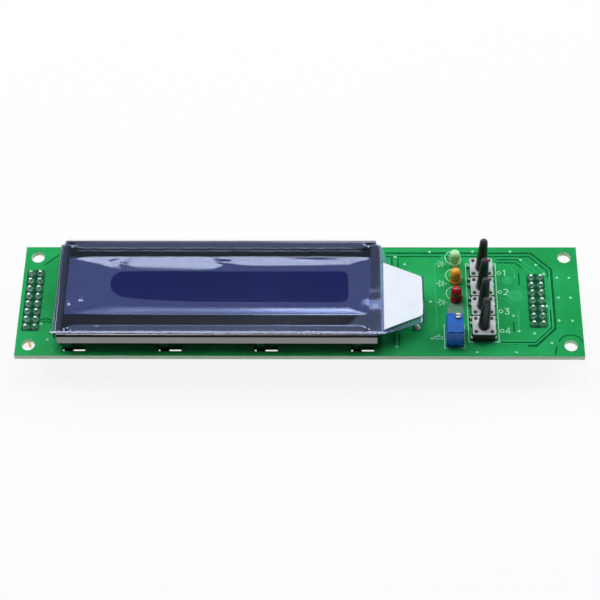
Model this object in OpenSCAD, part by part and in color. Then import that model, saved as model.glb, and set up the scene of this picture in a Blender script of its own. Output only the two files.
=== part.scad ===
// Character LCD module: a display with its own keys, lamps and contrast trimmer on one circuit board.
// X runs along the board, with the keys at +X. Z is up, out of the display face.
// The origin is under the middle of the board, level with the lower ends of the rear headers' pins.

/* [Board] */
// Length of the circuit board
board_l = 153; // [135:0.5:200]
// Width of the circuit board
board_w = 36; // [33:0.5:60]
// Thickness of the circuit board
board_t = 1.6; // [1:0.1:2.4]
// Diameter of the four mounting holes
hole_d = 3.6; // [2.5:0.1:4]
// Distance of each mounting hole's centre from both board edges
hole_inset = 3.5; // [3:0.1:4]
// Diameter of the drilled holes that component leads pass through
lead_hole_d = 1.0; // [0.8:0.05:1.2]

/* [Bezel] */
// Distance from the board's left end to the bezel
bezel_offset = 10.7; // [9:0.1:13]
// Length of board left free beyond the bezel for the lamps, trimmer, keys and right header
control_l = 54.3; // [51:0.1:65]
// Strip of board left free along each long side of the bezel
bezel_edge = 2; // [1.4:0.1:3]
// Height of the bezel's face above the board
bezel_h = 6.3; // [5.8:0.1:9]
// Thickness of the bezel's steel sheet
bezel_t = 0.5; // [0.3:0.05:0.6]
// Outside radius of the bends
bend_r = 0.9; // [0.7:0.1:1]
// Depth of the skirt below the bezel's face
skirt_h = 3.2; // [2.5:0.1:4]
// Notch at each corner, measured along the length
notch_x = 1.2; // [0.8:0.1:2]
// Notch at each corner, measured across the width
notch_y = 1.6; // [1.2:0.1:2]
// Border between the viewing window and each end of the bezel
window_border_x = 2.75; // [2.5:0.05:6]
// Border between the viewing window and each long side of the bezel
window_border_y = 6.5; // [6:0.1:8]
// Offset of the window's middle towards the rear edge
window_y = 0.6; // [0:0.1:0.8]
// Corner radius of the window
window_r = 0.4; // [0.2:0.1:2]
// Distance between each end of the two stiffening beads and the bezel's end
bead_inset = 3.25; // [3:0.05:12]
// Width of each bead at its foot
bead_w = 2.8; // [2:0.1:3]
// Height of each bead
bead_h = 0.45; // [0.2:0.05:0.6]
// Margin between each bead and the bezel's long edge
bead_margin = 1.0; // [1:0.1:1.4]

/* [Lugs] */
// Number of lugs on each long side
lug_count = 4; // [2:1:6]
// Distance between the last slot's middle and the bezel's end
lug_inset = 5.15; // [4:0.05:10]
// Offset of the row of slots from the bezel's middle
slot_row_x = 0.1; // [-1:0.1:1]
// Width of each lug
lug_w = 2.4; // [1.6:0.1:3]
// Length of the lug's end, folded under the board
lug_fold = 2.6; // [2:0.1:3.5]
// Length of each slot in the board
slot_l = 6.8; // [5.5:0.1:8]
// Width of each slot in the board
slot_w = 2.0; // [1.6:0.1:2.2]
// Corner radius of each slot
slot_corner_r = 0.4; // [0.1:0.1:0.7]
// Offset of each lug from the middle of its slot
lug_shift = -1.4; // [-1.4:0.1:1.4]

/* [Display] */
// Gap between the front glass and the bezel's skirt
glass_clearance = 0.7; // [0.3:0.05:0.8]
// How far the rear glass reaches beyond each long side of the window
rear_glass_overlap = 2; // [1.8:0.1:2.2]
// Thickness of each glass plate
glass_t = 1.1; // [0.5:0.1:1.1]
// Thickness of each polarising sheet
polarizer_t = 0.2; // [0.1:0.05:0.3]
// Overlap of each polarising sheet behind the edges of the window
polarizer_overlap = 0.8; // [0.4:0.1:1]
// Width of each elastomer contact strip
strip_w = 2.2; // [1.5:0.1:2.6]
// Gap between the rear glass and each contact strip
strip_gap = 0.5; // [0.3:0.1:0.6]
// Thickness of the reflector and of the diffuser
sheet_t = 0.2; // [0.1:0.05:0.3]
// Length of the strip of white lamps at the end of the light guide
lamp_bar_l = 3; // [2:0.1:4]
// Gap around the light guide
guide_gap = 0.3; // [0.2:0.1:0.5]

/* [Protective film] */
// Thickness of the clear film
film_t = 0.12; // [0.08:0.01:0.2]
// Margin between the film and each long side of the bezel
film_margin = 0.5; // [0.3:0.05:1]
// How far the film overhangs the bezel's left end
film_over_left = 0.7; // [0:0.1:1.5]
// How far the film overhangs the bezel's right end
film_over_right = 0.6; // [0.3:0.1:1.5]
// Air gap between the film and what it lies on
film_gap = 0.02; // [0.01:0.01:0.05]
// Distance between each end of the window and the area where the film clings, before its offset
cling_inset_x = 9.25; // [8:0.05:16]
// Distance between each long side of the window and the area where the film clings, before its offset
cling_inset_y = 4.4; // [4:0.1:5.5]
// Offset of the clinging area's middle from the bezel's middle
cling_x = 3.05; // [0:0.05:4]
// Flat strip of film left between its slope and the window's front edge
film_shelf = 0.3; // [0.2:0.1:0.6]
// Length of the white pull tab
tab_l = 10.4; // [8:0.1:14]
// Width of the pull tab beside the bezel
tab_root_w = 21.8; // [16:0.1:24]
// Width of the pull tab's tip
tab_tip_w = 13.2; // [8:0.1:15]
// Offset of the tab's middle from the board's middle
tab_y = -3.2; // [-3.4:0.1:3.4]
// Thickness of the pull tab
tab_t = 0.15; // [0.1:0.01:0.25]
// How far the film shows beyond the tab's front edge
tongue_front = 1.4; // [0.2:0.1:1.5]
// How far the film shows beyond the tab's tip
tongue_tip = 0.4; // [0.2:0.1:1]

/* [Headers] */
// Pitch of the pins in both rear headers
pin_pitch = 2.54; // [2:0.02:2.54]
// Pins in each row of the left header
left_rows = 8; // [5:1:9]
// Pins in each row of the right header
right_rows = 7; // [5:1:9]
// Distance of the right header's centre from the board's right end
right_header_inset = 11.8; // [11:0.1:14]
// Thickness of both header strips
header_h = 2.5; // [2:0.1:3]
// Bevel at each pin's corners along both sides of a header strip
header_bevel = 0.5; // [0.2:0.05:0.6]
// Side of the square pins
pin_w = 0.64; // [0.5:0.02:0.66]
// Length of the pins below the header strips
pin_l = 6; // [4:0.1:8]
// Length of the tapered part at each pin's lower end
pin_taper = 0.6; // [0.3:0.1:1]
// Side of the flat at each pin's lower end
pin_tip_w = 0.3; // [0.2:0.05:0.4]
// Clearance between each pin and its header strip
pin_clearance = 0.02; // [0.01:0.01:0.05]
// Height of the pin tails above the board
tail_h = 1.3; // [1.1:0.1:1.8]

/* [Solder] */
// Diameter of a solder joint at the board
solder_d = 1.6; // [1.4:0.05:1.7]
// Height of a solder joint
solder_h = 0.9; // [0.5:0.1:1.0]
// Thickness of the solder around the lead, at the top of a joint
solder_rim = 0.15; // [0.05:0.01:0.15]

/* [Lamps] */
// Gap between the lamps' flanges and the keys' bases
lamp_gap = 2.05; // [1.2:0.05:2.5]
// Distance of the middle lamp from the board's centre line
lamp_y = 6.95; // [6.5:0.05:7.2]
// Spacing of the lamps
lamp_pitch = 6.0; // [4.5:0.05:6.4]
// Diameter of each lamp's dome
lamp_d = 3.0; // [2.8:0.1:3.2]
// Diameter of each lamp's flange
lamp_flange_d = 3.8; // [3.6:0.1:4]
// Thickness of each lamp's flange
lamp_flange_t = 1.0; // [0.8:0.1:1.2]
// Height of each lamp
lamp_h = 4.8; // [4.4:0.1:6]
// Width of each square lead
lead_w = 0.5; // [0.4:0.05:0.55]

/* [Trimmer] */
// Gap between the trimmer and the keys' bases
trimmer_gap = 2.55; // [1.2:0.05:2.9]
// Distance of the trimmer's middle from the board's centre line
trimmer_y = -11.75; // [-12.5:0.05:-8]
// Width of the trimmer's body
trimmer_w = 4.5; // [4.2:0.1:4.8]
// Length of the trimmer's body
trimmer_l = 6.6; // [6.4:0.1:7]
// Height of the trimmer's body above the board
trimmer_h = 6.8; // [6:0.1:8]
// Height of the feet under the trimmer's body
trimmer_foot = 0.4; // [0.3:0.1:0.8]
// Diameter of the adjusting screw
screw_d = 1.65; // [1.6:0.05:2]
// Height of the adjusting screw above the body
screw_rise = 0.5; // [0.4:0.1:0.8]
// Length of the adjusting screw inside the body
screw_depth = 4.5; // [3:0.1:5]
// Offset of the adjusting screw across the body
screw_x = 0.85; // [0:0.05:0.9]
// Distance of the adjusting screw from the body's rear face
screw_inset = 1.2; // [1.2:0.05:2]
// Width and depth of the screwdriver slot
screw_slot = 0.45; // [0.3:0.05:0.6]
// Length of each pin inside the trimmer's body
trimmer_pin_grip = 1.5; // [0.8:0.1:2]
// Radial clearance of the adjusting screw
screw_clearance = 0.04; // [0.02:0.01:0.08]

/* [Keys] */
// Distance of the column of keys from the board's right end
key_inset = 26.85; // [25:0.05:27]
// Spacing of the keys
key_pitch = 6.35; // [6.2:0.01:6.6]
// Offset of the column of keys from the board's centre line
key_row_y = -0.75; // [-2:0.05:2]
// Width of each key's base, across its terminals
key_w = 6.2; // [6:0.1:6.4]
// Depth of each key's base
key_d = 6.0; // [5.8:0.1:6.1]
// Corner radius of each key's base and cover
key_corner_r = 0.5; // [0.2:0.1:0.6]
// Height of each key's base with its cover
key_base_h = 3.5; // [3.3:0.1:4]
// Thickness of each key's steel cover
cover_t = 0.3; // [0.2:0.05:0.35]
// Height of the plunger's tip above the board
plunger_h = 16; // [8:0.5:20]
// Diameter of the plunger where it leaves the cover
plunger_d = 3.2; // [3:0.1:3.6]
// Diameter of the plunger's tip
plunger_tip_d = 2.15; // [1.6:0.05:2.8]
// Diameter of the plunger's foot, held under the cover
foot_d = 4.3; // [4.1:0.1:4.5]
// Thickness of the plunger's foot
foot_t = 0.5; // [0.3:0.05:0.7]
// Clearance of the plunger in its cover and base
plunger_clearance = 0.08; // [0.05:0.01:0.1]
// Stroke of each key
key_travel = 0.25; // [0.15:0.05:0.35]
// Thickness of the base's floor
key_floor = 1.1; // [1:0.1:1.3]
// Diameter of the snap dome
dome_d = 4.2; // [3.8:0.1:4.4]
// Thickness of the snap dome's steel
dome_t = 0.08; // [0.06:0.01:0.12]
// Distance of each rivet from the key's centre, in both directions
rivet_offset = 2.15; // [2.1:0.05:2.25]
// Diameter of each rivet
rivet_d = 1.0; // [0.8:0.05:1.1]
// Height of each rivet above the cover
rivet_rise = 0.12; // [0.05:0.01:0.3]
// Width of each terminal
terminal_w = 0.7; // [0.5:0.05:0.75]
// Thickness of each terminal
terminal_t = 0.3; // [0.2:0.05:0.3]
// Spacing of the two terminals on one side
terminal_pitch = 4.5; // [4.3:0.1:4.6]

/* [Rear side] */
// Diameter of the epoxy over the controller chip
controller_d = 15; // [10:0.5:18]
// Diameter of the epoxy over the driver chip
driver_d = 12; // [8:0.5:16]
// Height of both epoxy blobs
blob_h = 1.7; // [1:0.1:3]
// Distance of each epoxy blob from the bezel's middle
blob_x = 19; // [14:0.5:24]
// Number of chip resistors
chip_count = 6; // [2:1:8]
// Spacing of the chip resistors
chip_pitch = 2.6; // [1.8:0.1:3]
// Length of each chip resistor
chip_l = 2.0; // [1.6:0.1:3.2]
// Width of each chip resistor
chip_w = 1.25; // [0.8:0.05:1.6]
// Height of each chip resistor
chip_h = 0.5; // [0.4:0.05:0.7]
// Offset of the chip resistors from the board's centre line
chip_y = -9; // [-10.5:0.1:-9]
// Distance of the backlight resistor from the bezel's right end
resistor_offset = 9.7; // [8.5:0.1:11]
// Offset of the backlight resistor's front lead from the board's centre line
resistor_y = -8.8; // [-10:0.1:-6]
// Spacing of the backlight resistor's leads
resistor_pitch = 12.7; // [10.2:0.1:15]
// Length of the backlight resistor's body
resistor_l = 6.3; // [5:0.1:7]
// Diameter of the backlight resistor's body
resistor_d = 2.4; // [2:0.1:3]
// Air gap between the backlight resistor and the board
resistor_gap = 0.4; // [0.2:0.1:1]
// Diameter of the backlight resistor's wires
wire_d = 0.55; // [0.4:0.05:0.6]

/* [Hidden] */
$fn = 48;
// Overshoot of a cutting shape, so that it passes fully through
cut = 0.5;

// Heights above the resting surface
board_z = pin_l + header_h;
board_top = board_z + board_t;
bezel_top = board_top + bezel_h;
bezel_under = bezel_top - bezel_t;
front_glass_z = bezel_under - polarizer_t - glass_t;
rear_glass_z = front_glass_z - glass_t;
rear_polarizer_z = rear_glass_z - polarizer_t;
diffuser_z = rear_polarizer_z - sheet_t;
guide_z = board_top + sheet_t;
guide_t = diffuser_z - guide_z;

// Number of keys in the column
key_count = 4;

// Bezel, and the cut-outs and plates that follow it
bezel_l = board_l - bezel_offset - control_l;
bezel_w = board_w - 2 * bezel_edge;
window_l = bezel_l - 2 * window_border_x;
window_w = bezel_w - 2 * window_border_y;
bead_l = bezel_l - 2 * bead_inset;
lug_pitch = (bezel_l - 2 * lug_inset) / (lug_count - 1);
glass_l = bezel_l - 2 * (bezel_t + glass_clearance);
front_glass_w = bezel_w - 2 * (bezel_t + glass_clearance);
rear_glass_w = window_w + 2 * rear_glass_overlap;
film_w = bezel_w - 2 * film_margin;
cling_l = window_l - 2 * cling_inset_x;
cling_w = window_w - 2 * cling_inset_y;

// Plan positions
left_end = -board_l / 2;
right_end = board_l / 2;
hole_x = board_l / 2 - hole_inset;
hole_y = board_w / 2 - hole_inset;
bezel_x = left_end + bezel_offset + bezel_l / 2;
skirt_y = bezel_w / 2 - bezel_t / 2;
bead_y = bezel_w / 2 - bead_margin - bead_w / 2;
polarizer_l = window_l + 2 * polarizer_overlap;
polarizer_w = window_w + 2 * (window_y + polarizer_overlap);
left_header_x = left_end + hole_inset;
right_header_x = right_end - right_header_inset;
key_x = right_end - key_inset;
lamp_x = key_x - key_w / 2 - lamp_gap - lamp_flange_d / 2;
trimmer_x = key_x - key_w / 2 - trimmer_gap - trimmer_w / 2;
screw_at = [trimmer_x + screw_x, trimmer_y + trimmer_l / 2 - screw_inset];
resistor_x = bezel_x + bezel_l / 2 + resistor_offset;

// Derived sizes
guide_w = rear_glass_w;
strip_y = rear_glass_w / 2 + strip_gap + strip_w / 2;
trimmer_pin_pitch = 2.54;
trimmer_pin_d = 0.5;
lamp_lead_gap = 2.54;
lead_below = 1.6;
// Gap left between a solder joint and the lead inside it
joint_gap = 0.02;
terminal_x = key_w / 2 + terminal_t / 2;
dome_z = board_top + key_floor;
// A snap dome gives way by half its height
dome_h = 2 * key_travel;
foot_z = board_top + key_base_h - cover_t - plunger_clearance - foot_t;
nub_d = 1.4;
stem_rise = 0.6;
// Gap left between the plunger and the snap dome
dome_gap = 0.02;

function lamp_at(i) = [lamp_x, lamp_y + (1 - i) * lamp_pitch];
function key_at(i) = [key_x, key_row_y + ((key_count + 1) / 2 - i) * key_pitch];
function lug_xs() = [
  for (i = [0:lug_count - 1])
    bezel_x + slot_row_x + (i - (lug_count - 1) / 2) * lug_pitch
];
function pin_places(x, rows) = [
  for (i = [0:rows - 1])
    for (side = [-1, 1])
      [x + side * pin_pitch / 2, (i - (rows - 1) / 2) * pin_pitch]
];
function header_places() = concat(
  pin_places(left_header_x, left_rows),
  pin_places(right_header_x, right_rows)
);
function resistor_places() = [[resistor_x, resistor_y], [resistor_x, resistor_y + resistor_pitch]];
function lamp_lead_places(i) = [for (side = [-1, 1]) lamp_at(i) + [side * lamp_lead_gap / 2, 0]];
function trimmer_pin_places() = [for (i = [-1:1]) [trimmer_x, trimmer_y + i * trimmer_pin_pitch]];
function terminal_places(i) = [
  for (sx = [-1, 1])
    for (sy = [-1, 1])
      key_at(i) + [sx * terminal_x, sy * terminal_pitch / 2]
];
function rear_joint_places() = concat(
  [for (i = [0:2]) each lamp_lead_places(i)],
  trimmer_pin_places(),
  [for (i = [1:key_count]) each terminal_places(i)]
);
function lead_places() = concat(header_places(), resistor_places(), rear_joint_places());

// ---- Shared shapes ----

module at_each(places) {
  for (p = places)
    translate([p[0], p[1], 0])
      children();
}

// Flat plate on its underside, centred on the display's middle
module display_plate(l, w, t, z, y = 0) {
  translate([bezel_x - l / 2, y - w / 2, z])
    cube([l, w, t]);
}

module rounded_rectangle(l, w, r) {
  hull_l = l / 2 - r;
  hull_w = w / 2 - r;
  square([l, w - 2 * r], center = true);
  square([l - 2 * r, w], center = true);
  for (sx = [-1, 1])
    for (sy = [-1, 1])
      translate([sx * hull_l, sy * hull_w])
        circle(r);
}

// Channel section of the bent sheet: a face with a skirt down each side, open below
module channel_section(w) {
  inner_r = bend_r - bezel_t;
  difference() {
    union() {
      translate([-w / 2, -skirt_h])
        square([w, skirt_h - bend_r]);
      translate([-w / 2 + bend_r, -bend_r])
        square([w - 2 * bend_r, bend_r]);
      for (s = [-1, 1])
        translate([s * (w / 2 - bend_r), -bend_r])
          circle(bend_r);
    }
    translate([-w / 2 + bezel_t, -skirt_h - cut])
      square([w - 2 * bezel_t, skirt_h + cut - bezel_t - inner_r]);
    translate([-w / 2 + bezel_t + inner_r, -skirt_h - cut])
      square([w - 2 * (bezel_t + inner_r), skirt_h + cut - bezel_t]);
    for (s = [-1, 1])
      translate([s * (w / 2 - bezel_t - inner_r), -bezel_t - inner_r])
        circle(inner_r);
  }
}

// Raised bead with sloping sides and rounded ends, on the plane z = 0
module bead(l, w) {
  top_w = w - 2 * bead_h;
  straight = l - w;
  translate([-straight / 2, 0, 0])
    rotate([90, 0, 90])
      linear_extrude(straight)
        polygon([[-w / 2, 0], [w / 2, 0], [top_w / 2, bead_h], [-top_w / 2, bead_h]]);
  for (s = [-1, 1])
    translate([s * straight / 2, 0, 0])
      cylinder(h = bead_h, r1 = w / 2, r2 = top_w / 2);
}

// One lug on the rear side, from the skirt's edge through the board, folded inward beneath it
module lug() {
  fold_r = bezel_t;
  skirt_edge = bezel_top - skirt_h;
  y_out = skirt_y + bezel_t / 2;
  translate([-lug_w / 2, 0, 0])
    rotate([90, 0, 90])
      linear_extrude(lug_w) {
        translate([y_out - bezel_t, board_z])
          square([bezel_t, skirt_edge - board_z + bezel_t / 2]);
        intersection() {
          translate([y_out - fold_r, board_z])
            circle(fold_r);
          translate([y_out - fold_r, board_z - fold_r])
            square([fold_r, fold_r]);
        }
        translate([y_out - lug_fold, board_z - bezel_t])
          square([lug_fold - fold_r, bezel_t]);
      }
}

// Solder fillet on the plane z = 0, around a lead
module solder_joint(bore_d) {
  difference() {
    cylinder(h = solder_h, d1 = solder_d, d2 = bore_d + 2 * solder_rim, $fn = 24);
    translate([0, 0, -cut])
      cylinder(h = solder_h + 2 * cut, d = bore_d, $fn = 24);
  }
}

// ---- Board ----

module circuit_board() {
  color("seagreen")
    translate([0, 0, board_z])
      linear_extrude(board_t)
        difference() {
          square([board_l, board_w], center = true);
          for (sx = [-1, 1])
            for (sy = [-1, 1])
              translate([sx * hole_x, sy * hole_y])
                circle(d = hole_d);
          for (x = lug_xs())
            for (sy = [-1, 1])
              translate([x, sy * skirt_y])
                rounded_rectangle(slot_l, slot_w, slot_corner_r);
          at_each(lead_places())
            circle(d = lead_hole_d, $fn = 24);
        }
}

// ---- Bezel ----

module bezel() {
  color([0.12, 0.13, 0.15]) {
    translate([bezel_x, 0, bezel_top])
      difference() {
        union() {
          translate([-bezel_l / 2 + notch_x, 0, 0])
            rotate([90, 0, 90])
              linear_extrude(bezel_l - 2 * notch_x)
                channel_section(bezel_w);
          translate([0, bezel_w / 2 - notch_y, 0])
            rotate([90, 0, 0])
              linear_extrude(bezel_w - 2 * notch_y)
                channel_section(bezel_l);
          for (s = [-1, 1])
            translate([0, s * bead_y, 0])
              bead(bead_l, bead_w);
        }
        translate([0, window_y, -bezel_t - cut])
          linear_extrude(bezel_t + 2 * cut)
            rounded_rectangle(window_l, window_w, window_r);
        for (s = [-1, 1])
          translate([0, s * bead_y, -bezel_t])
            bead(bead_l - bezel_t, bead_w - bezel_t);
      }
    for (x = lug_xs())
      for (side = [0, 1])
        translate([x + lug_shift, 0, 0])
          mirror([0, side, 0])
            lug();
  }
}

// ---- Display ----

module front_polarizer() {
  color([0.13, 0.15, 0.38])
    display_plate(polarizer_l, polarizer_w, polarizer_t, bezel_under - polarizer_t);
}

module front_glass() {
  color([0.55, 0.65, 0.7])
    display_plate(glass_l, front_glass_w, glass_t, front_glass_z);
}

module rear_glass() {
  color([0.5, 0.6, 0.66])
    display_plate(glass_l, rear_glass_w, glass_t, rear_glass_z);
}

module rear_polarizer() {
  color([0.3, 0.32, 0.4])
    display_plate(polarizer_l, polarizer_w, polarizer_t, rear_polarizer_z);
}

module diffuser_sheet() {
  color([0.93, 0.93, 0.9])
    display_plate(glass_l, guide_w, sheet_t, diffuser_z);
}

// Clear guide that spreads the light of the lamp bar at its end
module light_guide() {
  color([0.85, 0.9, 0.92])
    translate([bezel_x - glass_l / 2, -guide_w / 2, guide_z])
      cube([glass_l - lamp_bar_l - guide_gap, guide_w, guide_t]);
}

module backlight_lamp_bar() {
  color([0.95, 0.95, 0.85])
    translate([bezel_x + glass_l / 2 - lamp_bar_l, -guide_w / 2, guide_z])
      cube([lamp_bar_l, guide_w, guide_t]);
}

module reflector_sheet() {
  color([0.9, 0.9, 0.9])
    display_plate(glass_l, guide_w, sheet_t, board_top);
}

module contact_strip(side) {
  color([0.75, 0.6, 0.58])
    display_plate(glass_l, strip_w, front_glass_z - board_top, board_top, side * strip_y);
}

// ---- Protective film ----

film_base = bezel_under + film_gap;
film_high = bezel_top + bead_h + film_gap;
film_x0 = bezel_x - bezel_l / 2 - film_over_left;
film_x1 = bezel_x + bezel_l / 2 + film_over_right;
tongue_x1 = film_x1 + tab_l + tongue_tip;
cling_r = cling_w / 2;
film_ramp = window_w / 2 - window_y - cling_r - film_shelf;
film_columns = 32;
film_rows = 16;
// Length over which the film narrows to the tongue
film_step = 0.01;

function smooth(t) = t <= 0 ? 0 : t >= 1 ? 1 : t * t * (3 - 2 * t);
function outside_cling(x, y) =
  norm([max(abs(x - bezel_x - cling_x) - (cling_l / 2 - cling_r), 0), y]) - cling_r;
function film_z(x, y) = film_base + (film_high - film_base) * smooth(outside_cling(x, y) / film_ramp);
function tab_half(x) = let (t = (x - film_x1) / (tongue_x1 - film_x1))
  (tab_root_w * (1 - t) + tab_tip_w * t) / 2;
function on_tongue(x) = x > film_x1 + film_step / 2;
function film_front(x) = on_tongue(x) ? max(-film_w / 2, tab_y - tab_half(x) - tongue_front) : -film_w / 2;
function film_rear(x) = on_tongue(x) ? tab_y + tab_half(x) : film_w / 2;
function film_xs() = concat(
  [for (i = [0:film_columns]) film_x0 + (film_x1 - film_x0) * i / film_columns],
  [film_x1 + film_step, (film_x1 + tongue_x1) / 2, tongue_x1]
);
function film_points(lift) = [
  for (x = film_xs())
    for (j = [0:film_rows])
      let (y = film_front(x) + (film_rear(x) - film_front(x)) * j / film_rows)
        [x, y, film_z(x, y) + lift]
];

// Sheet over the bezel's face and the window, dished down onto the glass, with a tongue for the tab
module protective_film() {
  columns = len(film_xs());
  side = film_rows + 1;
  top = columns * side;
  color([0.75, 0.8, 0.9, 0.4])
    polyhedron(
      points = concat(film_points(0), film_points(film_t)),
      faces = concat(
        [for (i = [0:columns - 2]) for (j = [0:film_rows - 1]) let (a = i * side + j) each
          [[a, a + 1, a + side + 1], [a, a + side + 1, a + side]]],
        [for (i = [0:columns - 2]) for (j = [0:film_rows - 1]) let (a = top + i * side + j) each
          [[a, a + side + 1, a + 1], [a, a + side, a + side + 1]]],
        [for (i = [0:columns - 2]) for (j = [0, film_rows]) let (a = i * side + j, b = a + side) each
          j == 0 ? [[a, b, b + top], [a, b + top, a + top]] : [[a, b + top, b], [a, a + top, b + top]]],
        [for (j = [0:film_rows - 1]) for (i = [0, columns - 1]) let (a = i * side + j) each
          i == 0 ? [[a, a + 1 + top, a + 1], [a, a + top, a + 1 + top]]
                 : [[a, a + 1, a + 1 + top], [a, a + 1 + top, a + top]]]
      ),
      convexity = 6
    );
}

module pull_tab() {
  corner_r = 0.8;
  tip_x = tab_l - corner_r;
  tip_y = tab_tip_w / 2 - corner_r;
  color([0.95, 0.96, 0.98])
    translate([film_x1, tab_y, film_high + film_t + film_gap])
      linear_extrude(tab_t) {
        polygon([
          [0, -tab_root_w / 2],
          [tip_x, -tab_tip_w / 2],
          [tab_l, -tip_y],
          [tab_l, tip_y],
          [tip_x, tab_tip_w / 2],
          [0, tab_root_w / 2]
        ]);
      }
}

// ---- Rear side ----

module chip_blob(x, d) {
  cap_r = (d * d / 4 + blob_h * blob_h) / (2 * blob_h);
  color([0.08, 0.08, 0.09])
    translate([x, 0, board_z])
      mirror([0, 0, 1])
        intersection() {
          translate([0, 0, blob_h - cap_r])
            sphere(cap_r, $fn = 96);
          cylinder(h = blob_h + cut, d = d);
        }
}

module chip_resistors() {
  end_l = 0.4;
  end_grow = 0.04;
  for (i = [0:chip_count - 1])
    translate([bezel_x + (i - (chip_count - 1) / 2) * chip_pitch, chip_y, board_z - chip_h]) {
      color([0.1, 0.1, 0.1])
        translate([-chip_w / 2, -chip_l / 2, 0])
          cube([chip_w, chip_l, chip_h]);
      color("silver")
        for (s = [-1, 1])
          translate([-chip_w / 2 - end_grow, s * (chip_l - end_l) / 2 - end_l / 2, -end_grow])
            cube([chip_w + 2 * end_grow, end_l, chip_h + end_grow]);
    }
}

resistor_z = board_z - resistor_gap - resistor_d / 2;
resistor_cap_l = 1.6;
wire_bend_r = 1.0;
// Length of each wire inside the resistor's body
wire_grip = resistor_cap_l / 2;

// Dog-bone body lying across the board
module resistor_body() {
  waist_step = 0.2;
  waist_d = resistor_d - 2 * waist_step;
  color([0.75, 0.62, 0.42])
    translate([resistor_x, resistor_y + resistor_pitch / 2 - resistor_l / 2, resistor_z])
      rotate([-90, 0, 0])
        difference() {
          union() {
            cylinder(h = resistor_l, d = waist_d);
            cylinder(h = resistor_cap_l, d = resistor_d);
            translate([0, 0, resistor_l - resistor_cap_l])
              cylinder(h = resistor_cap_l, d = resistor_d);
          }
          for (z = [-cut, resistor_l - wire_grip])
            translate([0, 0, z])
              cylinder(h = wire_grip + cut, d = wire_d);
        }
}

// One wire: out of the body, round a bend and up through the board
module resistor_wire() {
  run = resistor_pitch / 2 - resistor_l / 2 + wire_grip - wire_bend_r;
  rotate([90, 0, 0])
    translate([0, 0, -wire_bend_r - run])
      cylinder(h = run, d = wire_d, $fn = 24);
  translate([0, wire_bend_r, wire_bend_r])
    rotate([90, 0, -90])
      rotate_extrude(angle = -90, $fn = 48)
        translate([wire_bend_r, 0])
          circle(d = wire_d, $fn = 24);
  translate([0, 0, wire_bend_r])
    cylinder(h = board_top + tail_h - resistor_z - wire_bend_r, d = wire_d, $fn = 24);
}

module resistor_wires() {
  color("silver") {
    translate([resistor_x, resistor_y, resistor_z])
      resistor_wire();
    translate([resistor_x, resistor_y + resistor_pitch, resistor_z])
      mirror([0, 1, 0])
        resistor_wire();
  }
}

// ---- Headers ----

// One side of a strip's outline, from its first pin to its last
function header_side(rows) = [
  for (i = [0:rows - 1])
    each [
      [pin_pitch - header_bevel, (i - rows / 2) * pin_pitch],
      [pin_pitch, (i - rows / 2) * pin_pitch + header_bevel],
      [pin_pitch, (i + 1 - rows / 2) * pin_pitch - header_bevel]
    ],
  [pin_pitch - header_bevel, rows / 2 * pin_pitch]
];

module header_strip(x, rows) {
  side = header_side(rows);
  outline = concat(side, [for (p = side) -p]);
  color([0.1, 0.1, 0.11])
    translate([0, 0, pin_l])
      linear_extrude(header_h)
        difference() {
          translate([x, 0])
            polygon(outline);
          at_each(pin_places(x, rows))
            square(pin_w + 2 * pin_clearance, center = true);
        }
}

// Square pin whose tapered lower end stands on the plane z = 0
module header_pin() {
  half = pin_w / 2;
  tip = pin_tip_w / 2;
  top = board_top + tail_h;
  profile = [[-tip, 0], [tip, 0], [half, pin_taper], [half, top], [-half, top], [-half, pin_taper]];
  color("gold")
    intersection() {
      rotate([90, 0, 0])
        linear_extrude(2 * pin_w, center = true)
          polygon(profile);
      rotate([90, 0, 90])
        linear_extrude(2 * pin_w, center = true)
          polygon(profile);
    }
}

module header_pins(x, rows) {
  at_each(pin_places(x, rows))
    header_pin();
}

module top_solder_joints() {
  color([0.75, 0.76, 0.78]) {
    at_each(header_places())
      translate([0, 0, board_top])
        solder_joint(pin_w * sqrt(2) + joint_gap);
    at_each(resistor_places())
      translate([0, 0, board_top])
        solder_joint(wire_d + joint_gap);
  }
}

module rear_solder_joints() {
  color([0.75, 0.76, 0.78])
    translate([0, 0, board_z])
      mirror([0, 0, 1]) {
        at_each([for (i = [0:2]) each lamp_lead_places(i)])
          solder_joint(lead_w * sqrt(2) + joint_gap);
        at_each(trimmer_pin_places())
          solder_joint(trimmer_pin_d + joint_gap);
        at_each([for (i = [1:key_count]) each terminal_places(i)])
          solder_joint(norm([terminal_w, terminal_t]) + joint_gap);
      }
}

// ---- Lamps ----

module lamp_frame() {
  anvil_h = 1.2;
  post_h = 1.9;
  for (s = [-1, 1])
    translate([s * lamp_lead_gap / 2 - lead_w / 2, -lead_w / 2, -board_t - lead_below])
      cube([lead_w, lead_w, board_t + lead_below + post_h]);
  translate([-lamp_lead_gap / 2 - lead_w / 2, -lead_w / 2, post_h])
    cube([lead_w * 2, lead_w, anvil_h]);
  translate([lamp_lead_gap / 2 - lead_w / 2, -lead_w / 2, post_h])
    cube([lead_w, lead_w, anvil_h / 2]);
}

module lamp_lens(i) {
  dome_r = lamp_d / 2;
  shoulder = lamp_h - dome_r;
  translate([lamp_at(i)[0], lamp_at(i)[1], board_top])
    difference() {
      union() {
        cylinder(h = shoulder, r = dome_r);
        cylinder(h = lamp_flange_t, d = lamp_flange_d);
        translate([0, 0, shoulder])
          sphere(dome_r);
      }
      translate([-dome_r - lamp_d, -lamp_d, -cut])
        cube([lamp_d, 2 * lamp_d, lamp_flange_t + cut]);
      lamp_frame();
    }
}

module lamp_leads(i) {
  color("silver")
    translate([lamp_at(i)[0], lamp_at(i)[1], board_top])
      lamp_frame();
}

// ---- Trimmer ----

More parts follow.
